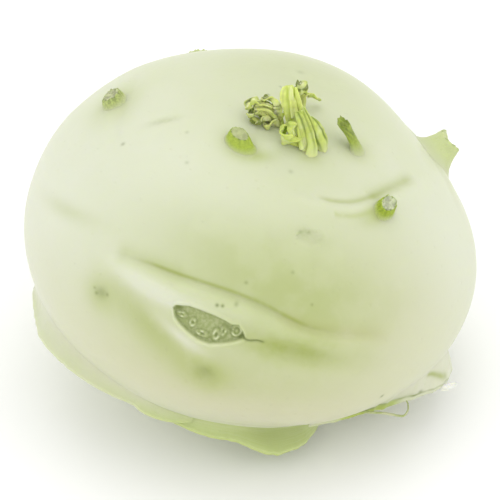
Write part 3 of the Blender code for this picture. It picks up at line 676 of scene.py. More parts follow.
def build_flesh_grain():
    """A group of the patterns that run through the flesh: soft mottling, small pores and fine bumps."""
    group = bpy.data.node_groups.new("flesh grain", "ShaderNodeTree")
    for name in ("Vector", "Patch Size", "Pore Size", "Fine Size"):
        kind = "NodeSocketVector" if name == "Vector" else "NodeSocketFloat"
        group.interface.new_socket(name, in_out="INPUT", socket_type=kind)
    for name in ("Mottle", "Pores", "Height"):
        group.interface.new_socket(name, in_out="OUTPUT", socket_type="NodeSocketFloat")
    nodes = Nodes(group)
    entry = nodes.node("NodeGroupInput").outputs

    def texture(kind, size, detail):
        scale = nodes.sum("DIVIDE", 1 / MM, entry[size], clamp=False)
        return nodes.fill(nodes.node(kind), Vector=entry["Vector"], Scale=scale, Detail=detail).outputs

    mottle = nodes.ramp(texture("ShaderNodeTexNoise", "Patch Size", 4.0)["Fac"], 0.32, 0.68)
    pores = nodes.ramp(texture("ShaderNodeTexVoronoi", "Pore Size", 0.0)["Distance"], 0.05, 0.16, 1.0, 0.0)
    fine = texture("ShaderNodeTexNoise", "Fine Size", 3.0)["Fac"]
    height = nodes.sum("MULTIPLY_ADD", pores, -0.6, fine, clamp=False)
    nodes.fill(nodes.node("NodeGroupOutput"), Mottle=mottle, Pores=pores, Height=height)
    return group


FLESH_GRAIN = build_flesh_grain()
SKIN_GRAIN = (9.0, 3.2, 1.4)        # size of the skin's patches, pores and fine bumps
DARK_MARK = (0.12, 0.16, 0.02)


class Shade(Nodes):
    """A new material with its shader."""

    def __init__(self, name):
        self.material = bpy.data.materials.new(name)
        self.material.use_nodes = True
        super().__init__(self.material.node_tree)
        self.shader = self.tree.nodes["Principled BSDF"]
        self.where = self.node("ShaderNodeTexCoord").outputs["Object"]

    def mark(self, name):
        return self.node("ShaderNodeAttribute", attribute_name=name).outputs["Fac"]

    def paint(self, colour, **tints):
        """Lays tints over a colour in turn, each where the mark of its name shows."""
        for name, tint in tints.items():
            colour = self.blend(self.mark(name), colour, tint)
        return colour

    def noise(self, length, detail=3.0, roughness=0.5, where=None):
        """Noise whose patches are so many millimetres long."""
        node = self.fill(self.node("ShaderNodeTexNoise"), Vector=where or self.where,
                         Scale=1 / (length * MM), Detail=detail, Roughness=roughness)
        return node.outputs["Fac"]

    def grain(self, patch, pore, fine):
        """The flesh's mottling, pores and fine unevenness, from the group that the materials share."""
        group = self.node("ShaderNodeGroup", node_tree=FLESH_GRAIN)
        self.fill(group, Vector=self.where, Patch_Size=patch, Pore_Size=pore, Fine_Size=fine)
        return group.outputs

    def bump(self, height, distance):
        node = self.fill(self.node("ShaderNodeBump"), Height=height, Distance=distance * MM)
        self.fill(self.shader, Normal=node.outputs["Normal"])

    def finish(self, colour, roughness, through=0.0, depth=(3.0, 3.6, 1.6), sheen=0.0, gloss=0.5):
        """Sets the shader; through is how much light passes into the flesh, and depth how far, in mm."""
        self.fill(self.shader, Base_Color=colour, Roughness=roughness, Subsurface_Weight=through,
                  Subsurface_Radius=depth, Subsurface_Scale=MM, Specular_IOR_Level=gloss,
                  Sheen_Weight=sheen)
        return self.material


def darker(colour, share):
    return tuple(share * part for part in colour)


def skin_colour(shade, grain):
    """The pale waxy skin's colour, greener where the flesh shows through it; its green and white marks also
    carry painted shade and light.
    """
    soft_green = shade.sum("MULTIPLY", shade.mark("green"), shade.ramp(grain["Mottle"], -1.6, 0.9))
    soft_mottle = shade.sum("MULTIPLY", grain["Mottle"], 0.5)
    colour = shade.blend(soft_mottle, (0.565, 0.60, 0.395), (0.60, 0.62, 0.47))
    colour = shade.paint(colour, white=(0.66, 0.68, 0.57), cream=(0.55, 0.54, 0.36))
    colour = shade.blend(soft_green, colour, (0.33, 0.39, 0.075))
    return shade.blend(shade.sum("MULTIPLY", grain["Pores"], 0.05), colour, (0.35, 0.35, 0.19))


def bulb_material():
    """The bulb's skin, with scars and specks where its marks say."""
    shade = Shade("kohlrabi skin")
    grain = shade.grain(*SKIN_GRAIN)
    rough_line = shade.sum("MULTIPLY", shade.mark("line"), shade.ramp(shade.noise(4.0), 0.1, 0.5))
    colour = shade.blend(rough_line, skin_colour(shade, grain), (0.33, 0.39, 0.06))
    face = shade.blend(shade.ramp(shade.noise(0.8, 5.0), 0.4, 0.65), (0.30, 0.35, 0.13), (0.38, 0.42, 0.20))
    colour = shade.paint(colour, scar=face, ring=(0.60, 0.65, 0.40), dark=DARK_MARK)
    roughness = shade.sum("ADD", shade.sum("MULTIPLY", grain["Mottle"], 0.08), 0.40)
    shade.bump(grain["Height"], 0.06)
    return shade.finish(colour, roughness, through=0.45, sheen=0.10, gloss=0.35)


def cut_root_material():
    """The woody face that the root was cut from: rings and brown patches."""
    shade = Shade("cut root")
    rings = shade.node("ShaderNodeTexWave", wave_type="RINGS", rings_direction="Z")
    shade.fill(rings, Vector=shade.where, Scale=70.0, Distortion=2.5, Detail=2.0)
    colour = shade.blend(rings.outputs["Fac"], (0.62, 0.58, 0.38), (0.74, 0.70, 0.50))
    colour = shade.blend(shade.ramp(shade.noise(1.6, 5.0), 0.5, 0.75), colour, (0.42, 0.33, 0.17))
    shade.bump(rings.outputs["Fac"], 0.10)
    return shade.finish(colour, 0.7)


def stub_material(name, side, cut, grain_shade):
    """A cut stalk: green fibrous side, skin on its foot and a cut face with grains of its own shade."""
    shade = Shade(name)
    skin = skin_colour(shade, shade.grain(*SKIN_GRAIN))
    grain = shade.grain(1.6, 0.9, 0.35)
    fibres = shade.ramp(shade.noise(0.5, 4.0), 0.35, 0.65)
    colour = shade.blend(fibres, side, darker(side, 0.4 + 0.6 * grain_shade))
    face = shade.blend(grain["Mottle"], cut, darker(cut, grain_shade))
    colour = shade.paint(colour, foot=skin, cut=face, dark=(0.08, 0.12, 0.02))
    shade.bump(grain["Height"], 0.12)
    return shade.finish(colour, 0.5, through=0.3, depth=(1.2, 1.5, 0.6), gloss=0.35)


def leaf_base_material():
    """The broad foot of a leaf stalk: skin over its top, green streaked flesh where it was cut."""
    shade = Shade("leaf base")
    grain = shade.grain(*SKIN_GRAIN)
    uv = shade.node("ShaderNodeUVMap").outputs["UV"]
    lengthwise = shade.fill(shade.node("ShaderNodeMapping"), Vector=uv, Scale=(0.14, 0.0015, 1.0))
    strands = shade.ramp(shade.noise(1.0, 3.0, 0.6, lengthwise.outputs["Vector"]), 0.35, 0.7)
    flesh = shade.blend(strands, (0.47, 0.54, 0.22), (0.52, 0.58, 0.29))
    flesh = shade.paint(flesh, vivid=(0.38, 0.46, 0.08))
    colour = shade.paint(skin_colour(shade, grain), flesh=flesh, edge=(0.16, 0.21, 0.03), dark=DARK_MARK)
    shade.bump(grain["Height"], 0.06)
    return shade.finish(colour, 0.45, through=0.28, sheen=0.10, gloss=0.35)


def leaf_material(name, light, dark, vein):
    """A crumpled young leaf, darker where its mark says and paler on its veins."""
    shade = Shade(name)
    grain = shade.grain(1.3, 0.8, 0.3)
    colour = shade.blend(grain["Mottle"], light, darker(light, 0.85))
    pale = shade.sum("MULTIPLY", shade.ramp(shade.noise(2.6), 0.45, 0.75), 0.55)
    colour = shade.paint(shade.blend(pale, colour, vein), dark=dark, vein=vein)
    shade.bump(grain["Height"], 0.08)
    return shade.finish(colour, 0.5, through=0.5, depth=(1.0, 1.3, 0.4), gloss=0.3)


def fibre_material():
    shade = Shade("leaf fibre")
    colour = shade.blend(shade.ramp(shade.noise(3.0), 0.4, 0.6), (0.36, 0.42, 0.16), (0.52, 0.54, 0.32))
    shade.bump(shade.noise(0.4), 0.05)
    return shade.finish(colour, 0.5, through=0.2, depth=(0.5, 0.6, 0.2))


def floor_material():
    shade = Shade("pale floor")
    colour = shade.blend(shade.noise(40.0), (0.93, 0.93, 0.93), (0.95, 0.95, 0.95))
    return shade.finish(colour, 0.9, gloss=0.0)


# ---------------------------------------------------------------- the bulb

DETAIL_MARGIN = 1.6         # how far round a fine feature the skin is cut finer
SCAR_REACH = (12, 6)        # and how far east and north of the big scar's middle
SCAR_MIDDLE = -0.8          # north of its spot


def has_detail(place):
    """Whether a place is so near a fine feature that the skin is cut finer there."""
    east, north = BIG_SCAR.offsets(place)
    if abs(east) < SCAR_REACH[0] and abs(north - SCAR_MIDDLE) < SCAR_REACH[1]:
        return True
    if any(line.nearest(place, DETAIL_MARGIN) for line in LINES):
        return True
    return any(speck.closeness(place) > 0.001 for speck in SPECKS)


def model_bulb():
    deselect_all()
    bpy.ops.mesh.primitive_ico_sphere_add(subdivisions=7, radius=1.0)
    bulb = name_piece("bulb_skin")
    for _ in range(2):
        detailed = [has_detail(place_toward(vert.co.normalized())) for vert in bulb.data.vertices]
        select_faces(bulb, lambda face: any(detailed[corner] for corner in face.vertices))
        edit(bulb, lambda: bpy.ops.mesh.subdivide(number_cuts=1), whole=False)
    for vert in bulb.data.vertices:
        vert.co = BULB_TO_WORLD @ skin_point(place_toward(vert.co.normalized()))
    edit(
        bulb,
        lambda: bpy.ops.mesh.quads_convert_to_tris(),
        lambda: bpy.ops.mesh.bisect(plane_co=(0, 0, 0), plane_no=(0, 0, 1), use_fill=True, clear_inner=True),
        lambda: bpy.ops.mesh.normals_make_consistent(inside=False),
    )
    mark_skin(bulb)
    dress(bulb, "bulb", bulb_material())
    bulb.data.materials.append(cut_root_material())
    for face in bulb.data.polygons:
        if face.normal.z < -0.999 and face.center.z < 0.01 * MM:
            face.material_index = 1
    bpy.ops.object.shade_smooth_by_angle(angle=radians(60))


# ---------------------------------------------------------------- leaf bases under the bulge

# Each key is: azimuth, polar angle of the upper root, radius and height of the rim, polar angle of the
# lower root, thickness of the rim.  The rim is the cut edge of the leaf stalk's foot.
LEFT_BASE = [
    (-186, 108, 46.0, -19.6, 120, 0.8),
    (-175, 107, 48.2, -20.6, 127, 1.0),
    (-168, 107, 50.0, -19.8, 130, 1.0),
    (-162, 110, 50.0, -22.4, 131, 1.0),
    (-154, 113, 51.0, -23.0, 132, 1.0),
    (-146, 116, 50.0, -23.6, 133, 1.0),
    (-138, 118, 48.7, -24.1, 134, 1.0),
    (-129, 121, 46.3, -24.9, 134, 1.0),
    (-121, 124, 43.8, -25.8, 135, 0.9),
    (-116, 126, 44.3, -26.2, 135, 0.9),
    (-108, 128, 42.8, -26.6, 135, 0.8),
    (-101, 130, 40.2, -26.6, 135, 0.6),
]
FRONT_BASE = [
    (-114, 134, 38.4, -28.6, 139, 0.7),
    (-106, 132, 40.4, -28.3, 139, 0.9),
    (-94, 131, 41.2, -28.5, 141, 1.0),
    (-85, 132, 41.4, -28.5, 142, 1.0),
    (-78, 132, 44.3, -28.5, 143, 1.0),
    (-73, 132, 45.6, -28.5, 143, 1.0),
    (-68, 132, 44.5, -28.5, 143, 1.0),
    (-61, 132, 42.6, -28.4, 142, 1.0),
    (-51, 131, 38.2, -28.0, 138, 0.8),
]
RIGHT_BASE = [
    (-62, 122, 42.6, -23.0, 128, 0.8),
    (-56, 117, 44.0, -21.6, 127, 1.2),
    (-49.5, 112, 45.5, -20.0, 126, 1.6),
    (-44.6, 108, 47.2, -18.6, 125, 1.6),
    (-39.4, 105, 48.8, -17.5, 124, 2.5),
    (-34.0, 101, 51.5, -16.0, 123, 2.2),
    (-29.7, 98, 54.2, -15.2, 122, 1.8),
    (-24.9, 97, 56.4, -14.3, 121, 1.5),
    (-19.5, 99, 56.8, -14.3, 120, 1.4),
    (-13.5, 103, 55.7, -15.6, 120, 1.4),
    (-7.5, 106, 53.4, -16.4, 119, 1.2),
    (4, 108, 52.0, -17.3, 118, 1.0),
    (18, 109, 49.6, -18.6, 117, 0.8),
]
BACK_BASE = [
    (36, 109, 48.6, -19.0, 121, 0.9),
    (48, 108, 50.8, -20.0, 124, 1.0),
    (60, 107, 52.8, -21.0, 126, 1.0),
    (72, 107, 53.2, -21.0, 127, 1.0),
    (84, 108, 51.4, -20.6, 126, 1.0),
    (97, 110, 48.4, -19.6, 122, 0.9),
]
SINK = 0.25                 # of a seated piece's root into the skin
ROW_LENGTH = 0.7            # of a leaf base's faces along its rim

# Shares down a leaf base's top of its section's corners
TOP_SHARES = (0.0, 0.06, 0.12, 0.2, 0.3, 0.4, 0.5, 0.6, 0.7, 0.79, 0.88, 0.95)
LIP_SHARE = 0.11            # of the top, that is dark beside the rim
NOWHERE = [(0.0, 0.0)]      # along a leaf base
# What the corners of a leaf base's section are, from its upper root over the rim to inside the bulb
SECTION = ["top"] * len(TOP_SHARES) + ["ridge", "face", "face", "edge", "under", "under", "inside", "inside"]


def seat(place, height=0.0):
    return skin_point(place) + globe_normal(place) * height


def base_section(key, ragged, flare):
    """One section of a leaf base.  Its top leaves along the skin, then swings out by flare to the rim."""
    azimuth, upper_polar, rim_radius, rim_height, lower_polar, thickness = key
    turn = radians(azimuth)
    upper, lower = radians(upper_polar), radians(lower_polar)
    root_top = seat(Place(upper, turn), -SINK)
    root_low = seat(Place(lower, turn), -SINK)
    down_skin = (seat(Place(upper + 0.05, turn)) - seat(Place(upper, turn))).normalized()
    out = Vector((cos(turn), sin(turn), 0.0))
    up = Vector((0, 0, 1))
    tear = ragged * noise.fractal((azimuth * 0.55, 0.0, rim_height * 0.1), 0.8, 2.2, 3)
    ridge = out * (rim_radius + tear) + up * rim_height
    span = (ridge - root_top).length
    leave = root_top + down_skin * 0.45 * span
    straight = (ridge - root_top).normalized()
    arrive = ridge - straight.lerp(out * 0.8 - up * 0.6, flare) * 0.3 * span
    top = []
    for share in TOP_SHARES:
        rest = 1 - share
        top.append(root_top * rest ** 3 + leave * 3 * rest ** 2 * share
                   + arrive * 3 * rest * share ** 2 + ridge * share ** 3)
    edge = ridge - out * 0.15 * thickness - up * thickness
    inside = [seat(Place(upper + (lower - upper) * share, turn), -SINK) for share in (0.67, 0.33)]
    return top + [
        ridge,
        ridge - up * 0.3 * thickness,
        ridge - out * 0.05 * thickness - up * 0.7 * thickness,
        edge,
        edge.lerp(root_low, 0.25) + up * 0.2,
        root_low,
        *inside,
    ]


def model_leaf_base(name, node, keys, ragged, flare, flesh, face_vivid,
                    ridge_dark=NOWHERE, lip_dark=NOWHERE):
    """A leaf base.

    At shares along it, flesh says how green its top is, face_vivid how bright its cut face is, and
    ridge_dark and lip_dark how dark the very edge of its top is and how dark the top beside it.
    """
    span = radians(keys[-1][0] - keys[0][0]) * max(key[2] for key in keys)
    rows = round(span / ROW_LENGTH)
    sections = [base_section(smooth_path(keys, row / rows), ragged, flare) for row in range(rows + 1)]
    corners = len(SECTION)

    def point_at(column_share, row_share):
        return sections[round(row_share * rows)][round(column_share * corners) % corners]

    piece = wrap_grid(name, corners, rows, point_at)
    marks = {"flesh": [], "edge": [], "vivid": []}
    for index in range(len(piece.data.vertices)):
        row, column = divmod(index, corners + 1)
        along, part = row / rows, SECTION[column % corners]
        patchy = 0.7 + 0.6 * noise.noise((along * span / 3.0, column * 0.3, 4.0))
        if part == "top":
            share = TOP_SHARES[column % corners]
            green = level_at(flesh, along)
            marks["flesh"].append(green * max(share, smooth_step(0.5, 1.0, green)))
            marks["edge"].append(level_at(lip_dark, along) * hill(share - 1.0, LIP_SHARE))
            marks["vivid"].append(0.0)
        else:
            vivid = level_at(face_vivid, along)
            marks["flesh"].append(max(level_at(flesh, along), min(1.0, 0.3 + 1.2 * vivid)))
            marks["edge"].append(level_at(ridge_dark, along) * patchy if part == "ridge" else 0.0)
            marks["vivid"].append(max(0.0, vivid) if part in ("face", "edge") else 0.0)
    mark_points(piece, **marks)
    tidy_mesh(piece)
    subdivide_smoothly(piece)
    mark_skin(piece)
    dress(piece, node, LEAF_BASE)


# ---------------------------------------------------------------- cut stubs of leaf stalks

STUB_SIDES = 24
FOOT_SINK = 0.4             # of a stub's foot into the skin
RIM_SHARE = 0.16            # of a cut's half-width, that its rim takes
CUT_RINGS = [(1.0, 0.0), (1.6, -0.25), (1.6, -0.10)]    # inwards: how many rims wide and how far up


def model_stub(name, node, spot, levels, rim, paint, ragged, dark_side):
    """A leaf stalk cut short.

    levels are height, half-widths east and north, and lean east and north, from the foot up.  rim gives
    the cut edge's extra height at turns from -180 to 180 degrees round the stub, counted from east.
    """
    top = levels[-1]

    def draw_out():
        bpy.ops.transform.resize(value=(levels[0][1], levels[0][2], 1))
        for before, after in zip(levels, levels[1:]):
            move = [(after[index] - before[index]) * MM for index in (3, 4, 0)]
            bpy.ops.mesh.extrude_region_move(TRANSFORM_OT_translate={"value": move})
            middle = (after[3] * MM, after[4] * MM, after[0] * MM)
            grow = (after[1] / before[1], after[2] / before[2], 1)
            bpy.ops.transform.resize(value=grow, center_override=middle)
        rim_width = RIM_SHARE * min(top[1], top[2])
        for width, depth in CUT_RINGS:
            bpy.ops.mesh.inset(thickness=width * rim_width * MM, depth=depth * MM)

    deselect_all()
    bpy.ops.mesh.primitive_circle_add(vertices=STUB_SIDES, radius=MM, fill_type="NGON")
    piece = name_piece(name)
    edit(piece, draw_out)
    subdivide_smoothly(piece, 2)

    east_way = Vector((-sin(spot.azimuth), cos(spot.azimuth), 0.0))
    up = globe_normal(spot)
    north_way = up.cross(east_way)
    base = skin_point(spot)
    marks = {"cut": [], "foot": [], "dark": []}
    for vert in piece.data.vertices:
        east, north, height = vert.co / MM
        share = min(max(height / top[0], 0.0), 1.0)
        lean = smooth_path(levels, share)[3:]
        x, y = (east - lean[0]) / top[1], (north - lean[1]) / top[2]
        around, from_middle = atan2(y, x), hypot(y, x)
        on_cut = smooth_step(-0.8, -0.5, height - top[0]) * (1 - smooth_step(0.80, 1.0, from_middle))
        rise = height + level_at(rim, around * 180 / pi) * share ** 2 * min(from_middle, 1.0)
        jag = noise.noise((east * 1.7, north * 1.7, height * 0.6)) * ragged
        rise += jag * share * 2.5
        swell = 1 + jag * 0.5
        on_skin = seat(spot.place(east, north), -FOOT_SINK)
        level_point = base + east_way * east * swell + north_way * north * swell
        vert.co = BULB_TO_WORLD @ (on_skin.lerp(level_point, smooth_step(0.0, 0.7, share)) + up * rise)
        # Dark streaks up the side by dark_side and a dark ring at the cut's edge: partly the stalk's fibres,
        # partly painted shade.
        streak = noise.noise((around * 3.0, height * 0.5, 3.0))
        on_side = smooth_step(0.35, 1.0, share) * smooth_step(0.1, 0.7, streak + 0.35) * (1 - on_cut)
        on_rim = smooth_step(0.9, 1.0, share) * hill(from_middle - 0.92, 0.16)
        marks["cut"].append(on_cut)
        marks["foot"].append(1 - smooth_step(0.02, 0.55, share))
        marks["dark"].append(max(dark_side * on_side, 0.6 * on_rim * smooth_step(-0.2, 0.3, streak)))
    mark_skin(piece)
    mark_points(piece, **marks)
    tidy_mesh(piece)
    dress(piece, node, STUB_PAINTS[paint])


STUBS = [
    ("crown_right_stub", "stub_crown_right", Spot(20.6, -18),
     [(0.0, 3.0, 2.5, 0.0, 0.0), (0.5, 2.1, 1.8, 0.0, 0.3), (1.6, 1.7, 1.5, -0.1, 1.8),
      (3.1, 1.75, 1.5, -0.25, 4.4), (4.7, 2.3, 1.8, -0.4, 6.8)],
     [(-180, -0.3), (-90, 0.3), (0, -0.2), (90, 0.3), (180, -0.3)], "deep", 0.14, 1.0),
    ("crown_left_stub", "stub_crown_left", Spot(18.4, -127),
     [(0.0, 5.8, 3.4, -0.2, 0.2), (0.15, 5.0, 2.9, -0.5, 0.3), (0.5, 4.1, 2.5, -0.8, 0.5),
      (1.2, 3.2, 2.1, -1.3, 0.9), (2.0, 2.6, 1.5, -1.8, 1.5)],
     [(-180, 0.0), (-90, -0.6), (0, -0.3), (90, 0.6), (180, 0.0)], "bright", 0.05, 0.25),
    ("upper_left_stub", "stub_upper_left", Spot(47.2, 167),
     [(0.0, 4.8, 3.9, 0.0, 0.0), (0.2, 3.9, 3.2, 0.0, 0.1), (0.8, 3.1, 2.5, 0.0, 0.1),
      (1.7, 2.6, 2.2, 0.0, 0.2)],
     [(-180, 0.2), (-90, -0.3), (0, 0.1), (90, 0.3), (180, 0.2)], "grainy", 0.20, 0.6),
    ("right_shoulder_stub", "stub_right_shoulder", Spot(37.2, -39.4),
     [(0.0, 4.6, 3.3, 0.0, 0.0), (0.2, 3.7, 2.7, -0.1, 0.2), (1.0, 2.9, 2.2, -0.1, 0.6),
      (2.2, 2.5, 1.9, 0.0, 0.9)],
     [(-180, -0.2), (-90, -0.3), (0, 0.2), (90, 0.3), (180, -0.2)], "vivid", 0.22, 0.2),
    ("right_rim_stub", "stub_right_rim", Spot(59.2, 26),
     [(0.0, 8.6, 7.4, 0.0, 0.0), (0.4, 7.0, 6.2, 0.1, 0.1), (1.6, 5.1, 4.5, 0.25, 0.5),
      (3.4, 4.1, 3.2, 0.4, 1.0), (5.5, 3.9, 2.6, 0.4, 1.5)],
     [(-180, 0.9), (-135, 0.2), (-90, -0.5), (-45, 0.3), (0, 1.1), (45, 0.3), (90, -0.5), (135, 0.2),
      (180, 0.9)], "pale", 0.08, 0.0),
    ("back_stub", "stub_back", Spot(63, 110),
     [(0.0, 4.4, 3.6, 0.0, 0.0), (0.3, 3.3, 2.6, 0.0, 0.1), (0.8, 2.3, 1.9, 0.1, 0.2)],
     [(-180, 0.0), (180, 0.0)], "pale", 0.2, 0.2),
]
STUB_PAINTS = {
    "vivid": stub_material("cut stub", (0.34, 0.44, 0.03), (0.58, 0.62, 0.40), 0.65),
    "bright": stub_material("bright stub", (0.36, 0.46, 0.05), (0.44, 0.48, 0.23), 0.75),
    "deep": stub_material("deep green stub", (0.33, 0.41, 0.05), (0.24, 0.31, 0.035), 0.7),
    "grainy": stub_material("grainy stub", (0.46, 0.53, 0.18), (0.60, 0.63, 0.36), 0.5),
    "pale": stub_material("pale stub", (0.54, 0.60, 0.29), (0.54, 0.60, 0.29), 0.98),
}


# ---------------------------------------------------------------- heart leaves

def swept_frame(keys, side_way, share):
    """The point of a curve at a share along it, its widths, and the ways across it and off its face."""
    x, y, z, *widths = smooth_path(keys, share)
    ahead = Vector(smooth_path(keys, min(share + 0.02, 1.0))[:3])
    behind = Vector(smooth_path(keys, max(share - 0.02, 0.0))[:3])
    tangent = (ahead - behind).normalized()
    across = (side_way - tangent * side_way.dot(tangent)).normalized()
    return Vector((x, y, z)), widths, across, tangent.cross(across)


def model_shoot(name, keys, side_way, furrows=3, depth=0.10, dark=0.4, around=24, along=26, seated=False):
    """A furrowed shoot along a curve, its furrows darkened partly with painted shade.  A key is x, y, z,
    half-width along side_way, half-thickness.
    """
    side_way = Vector(side_way).normalized()
    rings = []
    for row in range(along + 1):
        share = row / along
        point, (half_width, half_thickness), across, face = swept_frame(keys, side_way, share)
        ring = []
        for column in range(around):
            turn = 2 * pi * column / around
            way = across * cos(turn) * 2 + face * sin(turn) * 2
            swell = 1 + depth * cos(furrows * turn + 1.5 * share) + 0.16 * noise.noise(point * 0.8 + way)
            corner = point + across * half_width * swell * cos(turn)
            corner += face * half_thickness * swell * sin(turn)
            if seated and share < 0.25:
                on_skin = seat(place_under(corner), -SINK)
                corner = on_skin.lerp(corner, smooth_step(0.0, 0.25, share))
            ring.append(corner)
        rings.append(ring)
    piece = wrap_grid(name, around, along, lambda u, v: rings[round(v * along)][round(u * around) % around])
    furrow_marks, foot_marks = [], []
    for index in range(len(piece.data.vertices)):
        row, column = divmod(index, around + 1)
        share = row / along
        furrow = max(0.0, -cos(furrows * 2 * pi * column / around + 1.5 * share))
        patchy = 0.5 + noise.noise(rings[row][column % around] * 1.1)
        strength = min(1.0, furrow ** 2 + 0.5 * patchy * share)
        furrow_marks.append(dark * strength * smooth_step(0.0, 0.25, share))
        foot_marks.append(0.7 * (1 - smooth_step(0.0, 0.35, share)))
    mark_points(piece, dark=furrow_marks, vein=foot_marks)
    tidy_mesh(piece)
    return piece


BLADE_COLUMNS, BLADE_ROWS = 16, 24
STALK_WAY, SHOOT_WAY = (1, 0.15, 0), (1, 0.3, 0)    # across their flat faces


def model_blade(name, keys, side_way, waves=2.0, wave=0.6, curl=0.6, lobes=3, notch=0.2, crumple=1.0,
                dark=0.8, dark_from=0.3, thickness=0.4):
    """A leaf blade along a curve, crumpled and waved more towards its edges.

    A key is x, y, z, half-width.  dark_from says from what share along it the blade is dark green.
    """
    side_way = Vector(side_way).normalized()
    dark_marks, vein_marks = [], []

    def point_at(column_share, share):
        wide = 2 * column_share - 1
        point, (half_width,), across, face = swept_frame(keys, side_way, share)
        lobe = 0.5 + 0.5 * cos(2 * pi * (lobes * share + 0.2 * wide))
        half_width *= (1 - notch * lobe * wide * wide) * (1 - 0.5 * smooth_step(0.85, 1.0, share))
        rise = curl * wide * wide + wave * wide * wide * sin(2 * pi * waves * share + 2.2 * wide)
        rise += crumple * noise.fractal(point * 0.45 + across * wide * 1.1, 0.8, 2.1, 2)
        side_vein = hill(sin(2 * pi * (lobes * share + 0.55 * abs(wide))), 0.35) * (1 - abs(wide))
        vein_marks.append(min(1.0, 0.85 * hill(wide, 0.12) * (1 - 0.6 * share) + 0.5 * side_vein))
        patches = noise.noise(point * 0.6 + across * wide * 1.4 + Vector((7, 3, 1)))
        strength = max(smooth_step(-0.05, 0.12, patches), 0.25 * smooth_step(0.6, 1.0, abs(wide)))
        dark_marks.append(dark * smooth_step(dark_from - 0.15, dark_from + 0.2, share) * strength)
        return point + across * half_width * wide + face * rise

    piece = wrap_grid(name, BLADE_COLUMNS, BLADE_ROWS, point_at)
    mark_points(piece, dark=dark_marks, vein=vein_marks)
    apply_modifier(piece, "SOLIDIFY", thickness=thickness * MM, offset=0.0)
    subdivide_smoothly(piece)
    edit(piece, lambda: bpy.ops.mesh.normals_make_consistent(inside=False))
    return piece


